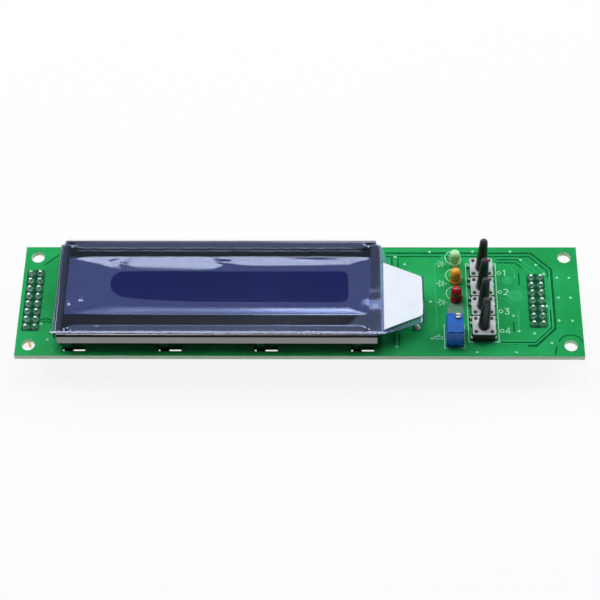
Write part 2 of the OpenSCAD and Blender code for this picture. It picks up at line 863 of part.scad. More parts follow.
module trimmer_body() {
  foot_w = 0.8;
  edge = 0.35;
  color([0.14, 0.33, 0.78])
    difference() {
      translate([trimmer_x, trimmer_y, board_top]) {
        translate([0, 0, trimmer_foot])
          linear_extrude(trimmer_h - trimmer_foot - edge)
            square([trimmer_w, trimmer_l], center = true);
        translate([0, 0, trimmer_h - edge])
          rotate([90, 0, 0])
            linear_extrude(trimmer_l - 2 * edge, center = true)
              polygon([
                [-trimmer_w / 2, 0],
                [trimmer_w / 2, 0],
                [trimmer_w / 2 - edge / 2, edge],
                [-trimmer_w / 2 + edge / 2, edge]
              ]);
        for (sx = [-1, 1])
          for (sy = [-1, 1])
            translate([sx * (trimmer_w - foot_w) / 2, sy * (trimmer_l - foot_w) / 2, trimmer_foot / 2])
              cube([foot_w, foot_w, trimmer_foot], center = true);
      }
      translate([screw_at[0], screw_at[1], board_top + trimmer_h - screw_depth])
        cylinder(h = screw_depth + cut, r = screw_d / 2 + screw_clearance);
      at_each(trimmer_pin_places())
        translate([0, 0, board_top])
          cylinder(h = trimmer_foot + trimmer_pin_grip, d = trimmer_pin_d, $fn = 24);
    }
}

module trimmer_screw() {
  color([0.85, 0.8, 0.62])
    translate([screw_at[0], screw_at[1], board_top + trimmer_h - screw_depth + screw_clearance])
      difference() {
        cylinder(h = screw_depth - screw_clearance + screw_rise, d = screw_d);
        translate([-screw_d, -screw_slot / 2, screw_depth - screw_clearance + screw_rise - screw_slot])
          cube([2 * screw_d, screw_slot, screw_slot + cut]);
      }
}

module trimmer_pins() {
  color("silver")
    at_each(trimmer_pin_places())
      translate([0, 0, board_z - lead_below])
        cylinder(h = board_t + lead_below + trimmer_foot + trimmer_pin_grip, d = trimmer_pin_d, $fn = 24);
}

// ---- Keys ----

// Two terminal straps: each crosses the floor of the base and turns down at both sides
module terminal_straps() {
  strap_z = key_floor - terminal_t;
  for (sy = [-1, 1])
    translate([0, sy * terminal_pitch / 2 - terminal_w / 2, 0]) {
      translate([-key_w / 2 - terminal_t, 0, strap_z])
        cube([key_w + 2 * terminal_t, terminal_w, terminal_t]);
      for (sx = [-1, 1])
        translate([sx * terminal_x - terminal_t / 2, 0, -board_t - lead_below])
          cube([terminal_t, terminal_w, board_t + lead_below + key_floor]);
    }
}

module rivets(d, h) {
  for (sx = [-1, 1])
    for (sy = [-1, 1])
      translate([sx * rivet_offset, sy * rivet_offset, 0])
        cylinder(h = h, d = d, $fn = 24);
}

module key_base(i) {
  body_h = key_base_h - cover_t;
  color([0.1, 0.1, 0.11])
    translate([key_at(i)[0], key_at(i)[1], board_top])
      difference() {
        union() {
          linear_extrude(body_h)
            rounded_rectangle(key_w, key_d, key_corner_r);
          rivets(rivet_d, key_base_h + rivet_rise);
        }
        translate([0, 0, key_floor])
          cylinder(h = body_h - key_floor + cut, r = foot_d / 2 + plunger_clearance);
        terminal_straps();
      }
}

module key_cover(i) {
  color([0.78, 0.79, 0.81])
    translate([key_at(i)[0], key_at(i)[1], board_top + key_base_h - cover_t])
      linear_extrude(cover_t)
        difference() {
          rounded_rectangle(key_w, key_d, key_corner_r);
          circle(r = plunger_d / 2 + plunger_clearance);
          for (sx = [-1, 1])
            for (sy = [-1, 1])
              translate([sx * rivet_offset, sy * rivet_offset])
                circle(d = rivet_d, $fn = 24);
        }
}

// Plunger turned about its axis: a nub on the dome, a foot under the cover and a long tapering stem
module key_plunger(i) {
  stem_r = plunger_d / 2;
  tip_r = plunger_tip_d / 2;
  tip_z = board_top + plunger_h;
  stem_z = board_top + key_base_h + stem_rise;
  nub_z = dome_z + dome_h + dome_gap;
  arc_steps = 8;
  color([0.09, 0.1, 0.12])
    translate([key_at(i)[0], key_at(i)[1], 0])
      rotate_extrude()
        polygon(concat(
          [
            [0, nub_z],
            [nub_d / 2, nub_z],
            [nub_d / 2, foot_z],
            [foot_d / 2, foot_z],
            [foot_d / 2, foot_z + foot_t],
            [stem_r, foot_z + foot_t],
            [stem_r, stem_z]
          ],
          [for (k = [0:arc_steps])
            let (a = 90 * k / arc_steps)
              [tip_r * cos(a), tip_z - tip_r + tip_r * sin(a)]]
        ));
}

// Snap dome: a thin pressed cap whose rim stands on the floor of the base
module key_dome(i) {
  cap_r = (dome_d * dome_d / 4 + dome_h * dome_h) / (2 * dome_h);
  rim_a = asin(dome_d / 2 / cap_r);
  steps = 8;
  color("silver")
    translate([key_at(i)[0], key_at(i)[1], dome_z + dome_h - cap_r])
      rotate_extrude()
        intersection() {
          polygon(concat(
            [for (k = [0:steps])
              let (a = rim_a * k / steps)
                [cap_r * sin(a), cap_r * cos(a)]],
            [for (k = [0:steps])
              let (a = rim_a * (1 - k / steps))
                [(cap_r - dome_t) * sin(a), (cap_r - dome_t) * cos(a)]]
          ));
          translate([0, cap_r - dome_h])
            square([dome_d, dome_h + cut]);
        }
}

module key_terminals(i) {
  color("silver")
    translate([key_at(i)[0], key_at(i)[1], board_top])
      terminal_straps();
}

circuit_board();
bezel();
front_polarizer();
front_glass();
rear_glass();
rear_polarizer();
diffuser_sheet();
light_guide();
reflector_sheet();
backlight_lamp_bar();
contact_strip(-1);  // front_contact_strip
contact_strip(1);  // rear_contact_strip
protective_film();
pull_tab();
chip_blob(bezel_x - blob_x, controller_d);  // controller_blob
chip_blob(bezel_x + blob_x, driver_d);  // driver_blob
chip_resistors();
resistor_body();
resistor_wires();
header_strip(left_header_x, left_rows);  // left_header
header_pins(left_header_x, left_rows);  // left_header_pins
header_strip(right_header_x, right_rows);  // right_header
header_pins(right_header_x, right_rows);  // right_header_pins
top_solder_joints();
rear_solder_joints();
color([0.55, 0.85, 0.35]) lamp_lens(0);  // green_lamp
color([0.92, 0.6, 0.1]) lamp_lens(1);  // amber_lamp
color([0.6, 0.05, 0.1]) lamp_lens(2);  // red_lamp
lamp_leads(0);  // green_lamp_leads
lamp_leads(1);  // amber_lamp_leads
lamp_leads(2);  // red_lamp_leads
trimmer_body();
trimmer_screw();
trimmer_pins();
key_base(1);  // key_base_1
key_base(2);  // key_base_2
key_base(3);  // key_base_3
key_base(4);  // key_base_4
key_cover(1);  // key_cover_1
key_cover(2);  // key_cover_2
key_cover(3);  // key_cover_3
key_cover(4);  // key_cover_4
key_plunger(1);  // key_plunger_1
key_plunger(2);  // key_plunger_2
key_plunger(3);  // key_plunger_3
key_plunger(4);  // key_plunger_4
key_dome(1);  // key_dome_1
key_dome(2);  // key_dome_2
key_dome(3);  // key_dome_3
key_dome(4);  // key_dome_4
key_terminals(1);  // key_terminals_1
key_terminals(2);  // key_terminals_2
key_terminals(3);  // key_terminals_3
key_terminals(4);  // key_terminals_4
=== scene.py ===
import math

import bpy
from mathutils import Matrix, Vector, noise

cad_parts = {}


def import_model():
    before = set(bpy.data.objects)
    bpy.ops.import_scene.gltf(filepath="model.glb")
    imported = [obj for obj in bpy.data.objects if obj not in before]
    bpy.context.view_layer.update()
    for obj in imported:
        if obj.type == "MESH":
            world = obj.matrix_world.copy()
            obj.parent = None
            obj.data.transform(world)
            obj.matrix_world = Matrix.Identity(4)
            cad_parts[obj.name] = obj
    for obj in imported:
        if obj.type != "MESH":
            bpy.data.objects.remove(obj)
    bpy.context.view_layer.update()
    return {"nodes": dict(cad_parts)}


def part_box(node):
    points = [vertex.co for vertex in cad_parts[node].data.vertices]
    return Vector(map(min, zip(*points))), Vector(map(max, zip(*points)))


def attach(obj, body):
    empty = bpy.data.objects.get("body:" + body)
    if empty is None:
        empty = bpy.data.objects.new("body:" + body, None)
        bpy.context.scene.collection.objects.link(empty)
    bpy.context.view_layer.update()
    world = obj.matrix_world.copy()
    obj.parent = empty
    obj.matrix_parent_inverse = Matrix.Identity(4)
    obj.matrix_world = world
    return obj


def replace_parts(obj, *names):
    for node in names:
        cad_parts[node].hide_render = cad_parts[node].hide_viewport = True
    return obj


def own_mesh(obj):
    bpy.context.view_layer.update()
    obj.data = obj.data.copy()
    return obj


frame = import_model()
NODES = frame["nodes"]
MM = 0.001


# ---- Places, in millimetres, read from the frame ----


def span(node):
    """Lowest and highest corner of a CAD node, in millimetres."""
    low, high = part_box(node)
    return low / MM, high / MM


BOARD_LOW, BOARD_HIGH = span("circuit_board")
BEZEL_HIGH = span("bezel")[1]
FILM_LOW, FILM_HIGH = span("protective_film")
TAB_LOW, TAB_HIGH = span("pull_tab")
TRIMMER_LOW, TRIMMER_HIGH = span("trimmer_body")
BOARD_TOP = BOARD_HIGH.z


def middle(node):
    """Middle of a CAD node's box, in millimetres."""
    low, high = span(node)
    return (low + high) / 2


# ---- Node-based materials ----


class Shade:
    """A material with one Principled shader, and short calls that add detail to it."""

    def __init__(self, name, color, roughness, metallic=0.0, **sockets):
        self.mat = bpy.data.materials.new(name)
        self.mat.use_nodes = True
        self.tree = self.mat.node_tree
        self.bsdf = self.tree.nodes["Principled BSDF"]
        self.out = self.tree.nodes["Material Output"]
        self.height = None
        self.set("Base Color", (*color, 1.0))
        self.set("Roughness", roughness)
        self.set("Metallic", metallic)
        for key, value in sockets.items():
            self.set(key.replace("_", " "), value)

    def set(self, socket, value):
        self.bsdf.inputs[socket].default_value = value

    def new(self, kind, **values):
        node = self.tree.nodes.new(kind)
        for key, value in values.items():
            setattr(node, key, value)
        return node

    def link(self, a, b):
        self.tree.links.new(a, b)

    def place(self):
        """Object coordinates, which are the shared frame's own, in metres."""
        return self.new("ShaderNodeTexCoord").outputs["Object"]

    def axis(self, name):
        """One object coordinate, in metres."""
        split = self.new("ShaderNodeSeparateXYZ")
        self.link(self.place(), split.inputs[0])
        return split.outputs[name]

    def noise(self, size_mm, stretch=(1, 1, 1)):
        """Noise whose features are about size_mm across."""
        mapping = self.new("ShaderNodeMapping")
        mapping.inputs["Scale"].default_value = stretch
        self.link(self.place(), mapping.inputs["Vector"])
        node = self.new("ShaderNodeTexNoise")
        node.inputs["Scale"].default_value = 1 / (size_mm * MM)
        node.inputs["Detail"].default_value = 3.0
        node.inputs["Roughness"].default_value = 0.55
        self.link(mapping.outputs["Vector"], node.inputs["Vector"])
        return node.outputs["Fac"]

    def ramp(self, fac, stops, interpolation="LINEAR"):
        """A colour ramp; stops is a list of (position, colour or grey)."""
        node = self.new("ShaderNodeValToRGB")
        node.color_ramp.interpolation = interpolation
        elements = node.color_ramp.elements
        while len(elements) < len(stops):
            elements.new(0.5)
        for element, (place, value) in zip(elements, stops):
            element.position = place
            color = value if isinstance(value, tuple) else (value,) * 3
            element.color = (*color, 1.0)
        self.link(fac, node.inputs["Fac"])
        return node.outputs["Color"]

    def mix(self, fac, a, b):
        """A mix of two colours, each a socket or a plain colour."""
        node = self.new("ShaderNodeMix", data_type="RGBA")
        for socket, value in ((node.inputs[0], fac), (node.inputs[6], a), (node.inputs[7], b)):
            if isinstance(value, bpy.types.NodeSocket):
                self.link(value, socket)
            elif isinstance(value, tuple):
                socket.default_value = (*value, 1.0)
            else:
                socket.default_value = value
        return node.outputs[2]

    def mix_shader(self, fac, a, b):
        node = self.new("ShaderNodeMixShader")
        for socket, value in zip(node.inputs, (fac, a, b)):
            self.link(value, socket)
        return node.outputs[0]

    def color(self, socket):
        self.link(socket, self.bsdf.inputs["Base Color"])
        return self

    def spread(self, a, b, size_mm, low=0.35, high=0.65, stretch=(1, 1, 1)):
        """A colour or grey that wanders between a and b."""
        return self.ramp(self.noise(size_mm, stretch), [(low, a), (high, b)])

    def vary(self, a, b, size_mm, stretch=(1, 1, 1)):
        """Base colour that wanders between a and b."""
        return self.color(self.spread(a, b, size_mm, stretch=stretch))

    def rough(self, low, high, size_mm):
        """Roughness that wanders between low and high."""
        self.link(self.spread(low, high, size_mm), self.bsdf.inputs["Roughness"])
        return self

    def bump(self, size_mm, depth_mm, strength=1.0):
        """Fine relief, on top of any relief added before."""
        node = self.new("ShaderNodeBump")
        node.inputs["Strength"].default_value = strength
        node.inputs["Distance"].default_value = depth_mm * MM
        self.link(self.noise(size_mm), node.inputs["Height"])
        if self.height is not None:
            self.link(self.height, node.inputs["Normal"])
        self.height = node.outputs["Normal"]
        self.link(self.height, self.bsdf.inputs["Normal"])
        return self

    def math(self, operation, a, b=None):
        node = self.new("ShaderNodeMath", operation=operation)
        for socket, value in zip(node.inputs, (a, b)):
            if isinstance(value, bpy.types.NodeSocket):
                self.link(value, socket)
            elif value is not None:
                socket.default_value = value
        return node.outputs[0]

    def beyond(self, value, limit):
        """1 where the value is further than the limit from zero."""
        return self.math("GREATER_THAN", self.math("ABSOLUTE", value), limit)

    def share(self, value, low, high):
        """How far the value is from low to high, from 0 to 1."""
        node = self.new("ShaderNodeMapRange")
        node.inputs["From Min"].default_value = low
        node.inputs["From Max"].default_value = high
        self.link(value, node.inputs["Value"])
        return node.outputs["Result"]

    def flatness(self):
        """1 where the surface lies flat, 0 where it stands upright."""
        split = self.new("ShaderNodeSeparateXYZ")
        self.link(self.new("ShaderNodeNewGeometry").outputs["Normal"], split.inputs[0])
        return self.ramp(self.math("ABSOLUTE", split.outputs["Z"]), [(0.2, 0.0), (0.6, 1.0)])


PALE_FROM = (69.0, 17.5)  # laminate is pale beyond this in x or y, paler than bare laminate as painted light, and painted dark inside it, in the slots, as painted shade
MASK_SHINE = 0.3


def solder_mask():
    """Green mask on both faces, and bare laminate on the board's edges and in its openings: pale on
    the edges and in the screw holes, partly painted light, and dark in the slots, which is painted
    shade.
    """
    s = Shade("solder_mask", (0.02, 0.33, 0.09), 0.16, Specular_IOR_Level=MASK_SHINE)
    green = s.spread((0.014, 0.33, 0.085), (0.021, 0.41, 0.115), 14)
    pale_with_painted_light = s.spread((0.66, 0.84, 0.62), (0.84, 0.96, 0.78), 0.25, 0.3, 0.7, stretch=(0.15, 0.15, 3))
    # painted shade: the laminate in the slots is painted dark, as the slot walls lie in the bezel's
    # shadow
    dark = s.spread((0.006, 0.04, 0.014), (0.012, 0.08, 0.028), 0.3, 0.3, 0.7)
    far_x, far_y = (s.beyond(s.axis(name), limit * MM) for name, limit in zip("XY", PALE_FROM))
    laminate_light_and_shade = s.mix(s.math("MAXIMUM", far_x, far_y), dark, pale_with_painted_light)
    flat = s.flatness()
    s.color(s.mix(flat, laminate_light_and_shade, green))
    s.link(s.math("MULTIPLY", flat, MASK_SHINE), s.bsdf.inputs["Specular IOR Level"])
    return s.bump(6, 0.02, 0.3).mat


def mask_over_copper():
    s = Shade("mask_over_copper", (0.04, 0.46, 0.15), 0.18, Specular_IOR_Level=0.3)
    return s.vary((0.020, 0.41, 0.125), (0.034, 0.48, 0.155), 4).mat


def mask_over_gap():
    s = Shade("mask_over_gap", (0.004, 0.13, 0.035), 0.18, Specular_IOR_Level=0.15)
    return s.vary((0.002, 0.10, 0.03), (0.005, 0.16, 0.05), 1.5).mat


def mask_over_laminate_and_shade():
    """Mask where there is no copper under it, which is darker; its colour also holds painted shade
    round the header joints.
    """
    s = Shade("mask_over_laminate_and_shade", (0.006, 0.08, 0.04), 0.2, Specular_IOR_Level=0.15)
    return s.vary((0.004, 0.055, 0.03), (0.008, 0.09, 0.045), 1.5).mat


def dark_ink():
    s = Shade("dark_ink", (0.006, 0.05, 0.34), 0.5)
    return s.vary((0.004, 0.035, 0.26), (0.010, 0.07, 0.42), 0.4).mat


def painted_reflection():
    """A dull, greyish patch on the mask: a painted reflection."""
    s = Shade("painted_reflection", (0.10, 0.26, 0.17), 0.5)
    return s.vary((0.06, 0.28, 0.13), (0.16, 0.27, 0.20), 1.2).mat


def silk_ink():
    s = Shade("silk_ink", (0.45, 0.80, 0.56), 0.6)
    return s.vary((0.22, 0.72, 0.40), (0.38, 0.82, 0.54), 0.35).bump(0.15, 0.01, 0.5).mat


def bezel_paint():
    s = Shade("bezel_paint", (0.004, 0.006, 0.010), 0.12, IOR=2.55)
    s.vary((0.003, 0.005, 0.009), (0.006, 0.009, 0.014), 5)
    return s.rough(0.04, 0.06, 2.5).bump(9, 0.003, 0.3).mat


def polarizer_sheet():
    s = Shade("polarizer_sheet", (0.006, 0.008, 0.11), 0.06)
    return s.vary((0.012, 0.017, 0.165), (0.015, 0.021, 0.195), 22).bump(8, 0.005, 0.3).mat


def clear_glass():
    s = Shade("clear_glass", (0.82, 0.92, 0.90), 0.02, Transmission_Weight=1.0, IOR=1.5)
    return s.rough(0.01, 0.04, 6).mat


def backlight_white():
    s = Shade("backlight_white", (0.85, 0.87, 0.85), 0.4, Subsurface_Weight=0.2)
    s.set("Subsurface Radius", (2 * MM,) * 3)
    return s.vary((0.80, 0.83, 0.80), (0.90, 0.91, 0.90), 3).bump(0.4, 0.01, 0.4).mat


def contact_rubber():
    s = Shade("contact_rubber", (0.50, 0.36, 0.36), 0.7)
    s.vary((0.30, 0.24, 0.25), (0.62, 0.48, 0.48), 0.5, stretch=(1, 0.05, 0.05))
    return s.bump(0.3, 0.01).mat


def tab_plastic():
    s = Shade("tab_plastic", (0.76, 0.82, 0.90), 0.5, Specular_IOR_Level=0.3)
    s.vary((0.73, 0.80, 0.89), (0.79, 0.84, 0.92), 5)
    return s.bump(7, 0.05, 0.4).bump(0.2, 0.004, 0.3).mat


def epoxy():
    s = Shade("epoxy", (0.012, 0.012, 0.014), 0.28, Coat_Weight=0.5, Coat_Roughness=0.12)
    return s.vary((0.010, 0.010, 0.012), (0.022, 0.022, 0.024), 2).bump(2.5, 0.08, 0.5).mat


BAND_L = 0.07  # share of the resistor's length
BANDS = (  # where each band starts, as a share of the resistor's length, and its colour
    (0.16, (0.03, 0.16, 0.60)),
    (0.36, (0.42, 0.42, 0.42)),
    (0.50, (0.18, 0.08, 0.03)),
    (0.74, (0.55, 0.40, 0.08)),
)


def resistor_paint():
    """Tan paint with four colour bands."""
    tan = (0.60, 0.44, 0.25)
    s = Shade("resistor_paint", tan, 0.35, Coat_Weight=0.3)
    low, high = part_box("resistor_body")
    stops = [(0.0, tan)]
    for start, band in BANDS:
        stops += [(start, band), (start + BAND_L, tan)]
    painted = s.ramp(s.share(s.axis("Y"), low.y, high.y), stops, "CONSTANT")
    return s.color(painted).bump(0.8, 0.03, 0.5).mat


def black_plastic(name, tone, roughness):
    s = Shade(name, (tone, tone * 1.05, tone * 1.15), roughness)
    dark, light = (tone * 0.75,) * 3, (tone * 1.3, tone * 1.35, tone * 1.45)
    s.vary(dark, light, 1.5).rough(roughness - 0.06, roughness + 0.08, 0.8)
    return s.bump(0.12, 0.006, 0.5).mat


def key_stem():
    """Black plunger that turns a lighter brownish grey towards its tip."""
    s = Shade("key_stem", (0.014, 0.017, 0.022), 0.34, Specular_IOR_Level=0.3)
    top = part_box("key_plunger_1")[1].z
    tip_blend = s.share(s.axis("Z"), top - 1.8 * MM, top - 0.6 * MM)
    body = s.spread((0.006, 0.009, 0.012), (0.013, 0.017, 0.022), 1.2)
    tip = s.spread((0.030, 0.026, 0.028), (0.060, 0.052, 0.053), 0.4)
    return s.color(s.mix(tip_blend, body, tip)).bump(0.15, 0.008, 0.5).mat


def metal(name, dark, light, low, high, size_mm=1.0, bump_mm=0.01, share=1.0):
    """Metal from dark to light, of roughness low to high; share is how metallic it is."""
    s = Shade(name, light, low, metallic=share)
    s.vary(dark, light, size_mm).rough(low, high, size_mm)
    return s.bump(size_mm * 0.5, bump_mm, 0.5).mat


def header_pin_metal():
    """Gold-plated pins, whose tails above the board are covered in solder."""
    s = Shade("header_pin_metal", (0.83, 0.62, 0.22), 0.26, metallic=1.0)
    above = s.math("GREATER_THAN", s.axis("Z"), BOARD_TOP * MM)
    gold = s.spread((0.62, 0.42, 0.12), (0.83, 0.62, 0.22), 0.8)
    tin = s.spread((0.52, 0.54, 0.53), (0.78, 0.80, 0.79), 0.4)
    return s.color(s.mix(above, gold, tin)).bump(0.4, 0.01, 0.5).mat


def lens(name, color, deep):
    """Tinted, milky plastic of a lamp."""
    s = Shade(
        name, color, 0.12, Transmission_Weight=0.12, IOR=1.52,
        Subsurface_Weight=0.6, Subsurface_Radius=(1.2 * MM,) * 3, Subsurface_Scale=1.0,
    )
    return s.vary(deep, color, 1.6).bump(1.2, 0.01, 0.25).mat


def trimmer_plastic():
    s = Shade("trimmer_plastic", (0.02, 0.13, 0.56), 0.34, Specular_IOR_Level=0.22)
    s.vary((0.010, 0.095, 0.40), (0.019, 0.140, 0.55), 1.4)
    return s.bump(0.18, 0.008, 0.5).bump(2, 0.03, 0.3).mat


def film_clear():
    """Thin clear film: see-through, glossy, and painted milky where the attribute says so, a sheen
    that is partly the film's own haze and mostly painted reflection.
    """
    s = Shade("film_clear", (0.33, 0.42, 0.86), 0.5)
    s.vary((0.31, 0.40, 0.84), (0.35, 0.45, 0.89), 6).bump(6, 0.003, 0.3)
    film_sheen = s.new("ShaderNodeAttribute", attribute_name="film_sheen")
    gloss = s.new("ShaderNodeBsdfGlossy")
    gloss.inputs["Roughness"].default_value = 0.12
    gloss.inputs["Color"].default_value = (0.68, 0.77, 1.0, 1.0)
    s.link(s.height, gloss.inputs["Normal"])
    clear = s.new("ShaderNodeBsdfTransparent")
    fresnel = s.new("ShaderNodeFresnel")
    fresnel.inputs["IOR"].default_value = 1.5
    body = s.mix_shader(film_sheen.outputs["Fac"], clear.outputs[0], s.bsdf.outputs[0])
    skin = s.mix_shader(fresnel.outputs[0], body, gloss.outputs[0])
    s.link(skin, s.out.inputs["Surface"])
    return s.mat


MASK = solder_mask()
COPPER_MASK = mask_over_copper()
GAP_MASK = mask_over_gap()
SILK = silk_ink()
SOLDER = metal("solder_tin", (0.34, 0.44, 0.42), (0.66, 0.80, 0.76), 0.24, 0.34, 0.6, share=0.80)
# Pale, non-metallic solder for the resistor's joints, which lie in the pull tab's shadow: painted
# light.
SOLDER_PAINTED_LIGHT = metal(
    "pale_solder_painted_light", (0.88, 0.86, 0.76), (0.98, 0.96, 0.88), 0.30, 0.42, 0.6, 0.02, share=0.0
)
TIN = metal("tinned_metal", (0.50, 0.50, 0.51), (0.74, 0.74, 0.75), 0.22, 0.36, 0.8)
STEEL = metal(
    "plated_steel", (0.40, 0.43, 0.44), (0.51, 0.54, 0.55), 0.34, 0.46, 0.5, 0.006, share=0.45
)
BRASS = metal("pale_brass", (0.50, 0.52, 0.48), (0.74, 0.75, 0.68), 0.24, 0.40, 0.4)
KEYS = range(1, 5)

FINISHES = {
    "circuit_board": MASK,
    "bezel": bezel_paint(),
    "front_polarizer": polarizer_sheet(),
    "rear_polarizer": polarizer_sheet(),
    "pull_tab": tab_plastic(),
    "resistor_body": resistor_paint(),
    "trimmer_body": trimmer_plastic(),
    "trimmer_screw": BRASS,
    "green_lamp": lens("green_lens", (0.56, 1.0, 0.52), (0.44, 1.0, 0.40)),
    "amber_lamp": lens("amber_lens", (1.0, 0.52, 0.05), (0.95, 0.40, 0.02)),
    "red_lamp": lens("red_lens", (0.60, 0.009, 0.024), (0.36, 0.006, 0.014)),
}
SHARED = (
    (("front_glass", "rear_glass"), clear_glass()),
    (("diffuser_sheet", "light_guide", "reflector_sheet", "backlight_lamp_bar"), backlight_white()),
    (("front_contact_strip", "rear_contact_strip"), contact_rubber()),
    (("controller_blob", "driver_blob"), epoxy()),
    (("chip_resistors",), black_plastic("chip_black", 0.02, 0.4)),
    (("left_header", "right_header"), black_plastic("header_plastic", 0.015, 0.42)),
    (("left_header_pins", "right_header_pins"), header_pin_metal()),
    (("top_solder_joints", "rear_solder_joints"), SOLDER),
    (("resistor_wires", "trimmer_pins"), TIN),
    ([f"{color}_lamp_leads" for color in ("green", "amber", "red")], TIN),
    ([f"key_base_{i}" for i in KEYS], black_plastic("key_plastic", 0.012, 0.45)),
    ([f"key_plunger_{i}" for i in KEYS], key_stem()),
    ([f"key_cover_{i}" for i in KEYS], STEEL),
    ([f"key_{kind}_{i}" for kind in ("dome", "terminals") for i in KEYS], TIN),
)
for names, finish in SHARED:
    for name in names:
        FINISHES[name] = finish

for node, finish in FINISHES.items():
    slots = NODES[node].data.materials
    slots.clear()
    slots.append(finish)


# ---- Building meshes ----


class Build:
    """Collects vertices and faces in millimetres and turns them into one piece."""

    def __init__(self):
        self.verts = []
        self.faces = []

    def add(self, verts, faces):
        start = len(self.verts)
        self.verts += [tuple(v) for v in verts]
        self.faces += [tuple(start + i for i in face) for face in faces]

    def slab(self, outline, low, high):
        """A flat closed solid over an outline that goes anticlockwise."""
        n = len(outline)
        verts = [(x, y, low) for x, y in outline] + [(x, y, high) for x, y in outline]
        sides = [(i, (i + 1) % n, (i + 1) % n + n, i + n) for i in range(n)]
        self.add(verts, [tuple(reversed(range(n))), tuple(range(n, 2 * n))] + sides)

    def strip(self, points, width, low, high, closed=False):
        """A flat strip of that width along a line, with mitred corners."""
        points = [Vector(p) for p in points]
        n = len(points)
        left, right = [], []
        for i, p in enumerate(points):
            before = points[i - 1] if i or closed else p
            after = points[(i + 1) % n] if i < n - 1 or closed else p
            a = (p - before).normalized() if p != before else (after - p).normalized()
            b = (after - p).normalized() if after != p else a
            side = Vector((-a.y, a.x))
            normal = (side + Vector((-b.y, b.x))).normalized()
            reach = width / 2 / max(normal.dot(side), 0.5)
            left.append(p + normal * reach)
            right.append(p - normal * reach)
        rows = [(row, z) for z in (low, high) for row in (right, left)]
        verts = [(*q, z) for row, z in rows for q in row]
        faces = []
        for i in range(n if closed else n - 1):
            right_low, left_low, right_high, left_high = (row * n + i for row in range(4))
            next_rl, next_ll, next_rh, next_lh = (row * n + (i + 1) % n for row in range(4))
            faces += [
                (right_high, next_rh, next_lh, left_high),
                (right_low, left_low, next_ll, next_rl),
                (right_low, next_rl, next_rh, right_high),
                (left_low, left_high, next_lh, next_ll),
            ]
        if not closed:
            last = n - 1
            faces += [(0, 2 * n, 3 * n, n), (last, n + last, 3 * n + last, 2 * n + last)]
        self.add(verts, faces)

    def lathe(self, center, profile, steps=24):
        """A closed solid turned about an upright axis, from (radius, height) points that go up."""
        angles = [2 * math.pi * k / steps for k in range(steps)]
        x, y = center
        verts = [(x + r * math.cos(a), y + r * math.sin(a), z) for r, z in profile for a in angles]
        faces = []
        for i in range(len(profile) - 1):
            low, high = i * steps, (i + 1) * steps
            for k in range(steps):
                after = (k + 1) % steps
                faces.append((low + k, low + after, high + after, high + k))
        top = (len(profile) - 1) * steps
        faces += [tuple(reversed(range(steps))), tuple(range(top, top + steps))]
        self.add(verts, faces)

    def ring(self, center, inner, outer, low, high, steps=40):
        """A flat ring."""
        x, y = center
        middle_r = (inner + outer) / 2
        angles = [2 * math.pi * k / steps for k in range(steps)]
        points = [(x + middle_r * math.cos(a), y + middle_r * math.sin(a)) for a in angles]
        self.strip(points, outer - inner, low, high, closed=True)

    def piece(self, name, mat, smooth=False, bevel_mm=0.0):
        """The finished piece, which rides on the module."""
        mesh = bpy.data.meshes.new(name)
        mesh.from_pydata([tuple(c * MM for c in v) for v in self.verts], [], self.faces)
        mesh.update()
        mesh.materials.append(mat)
        for polygon in mesh.polygons:
            polygon.use_smooth = smooth
        obj = new_object(name, mesh)
        if bevel_mm:
            bevel_edges(obj, bevel_mm)
        return obj


def new_object(name, mesh):
    """An object that rides on the module."""
    obj = bpy.data.objects.new(name, mesh)
    bpy.context.scene.collection.objects.link(obj)
    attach(obj, "module")
    return obj


def bevel_edges(obj, width_mm, segments=2, angle=30):
    """Rounds the edges that are sharper than the angle, in degrees."""
    bevel = obj.modifiers.new("bevel", "BEVEL")
    bevel.width = width_mm * MM
    bevel.segments = segments
    bevel.limit_method = "ANGLE"
    bevel.angle_limit = math.radians(angle)


def arc(center, radius, start, end, steps=10):
    """Points along an arc, with angles in degrees."""
    x, y = center
    angles = [math.radians(start + (end - start) * k / steps) for k in range(steps + 1)]
    return [(x + radius * math.cos(a), y + radius * math.sin(a)) for a in angles]


# ---- The board's copper and print ----

SUNK = -0.05  # how far printed layers reach into the board, so that no two faces lie together
# How far each layer stands above the board
REFLECTION_RISE = 0.006
BARE_RISE = 0.008
GAP_RISE = 0.012
PIN_GAP_RISE = 0.013
INK_RISE = 0.03
PAD_RISE = 0.04
COPPER_RISE = 0.05


def layer(rise):
    """Lowest and highest z of a printed layer."""
    return BOARD_TOP + SUNK, BOARD_TOP + rise


PIN_PITCH = 2.54
HEADERS = ((middle("left_header"), 8), (middle("right_header"), 7))  # middle, and rows of pins
PINS = [
    (center.x + side * PIN_PITCH / 2, center.y + (i - (rows - 1) / 2) * PIN_PITCH)
    for center, rows in HEADERS
    for i in range(rows)
    for side in (-1, 1)
]
RESISTOR_LOW, RESISTOR_HIGH = span("resistor_wires")
WIRE_D = RESISTOR_HIGH.x - RESISTOR_LOW.x
RESISTOR_X = middle("resistor_wires").x
RESISTOR_PADS = [
    (RESISTOR_X, RESISTOR_LOW.y + WIRE_D / 2),
    (RESISTOR_X, RESISTOR_HIGH.y - WIRE_D / 2),
]

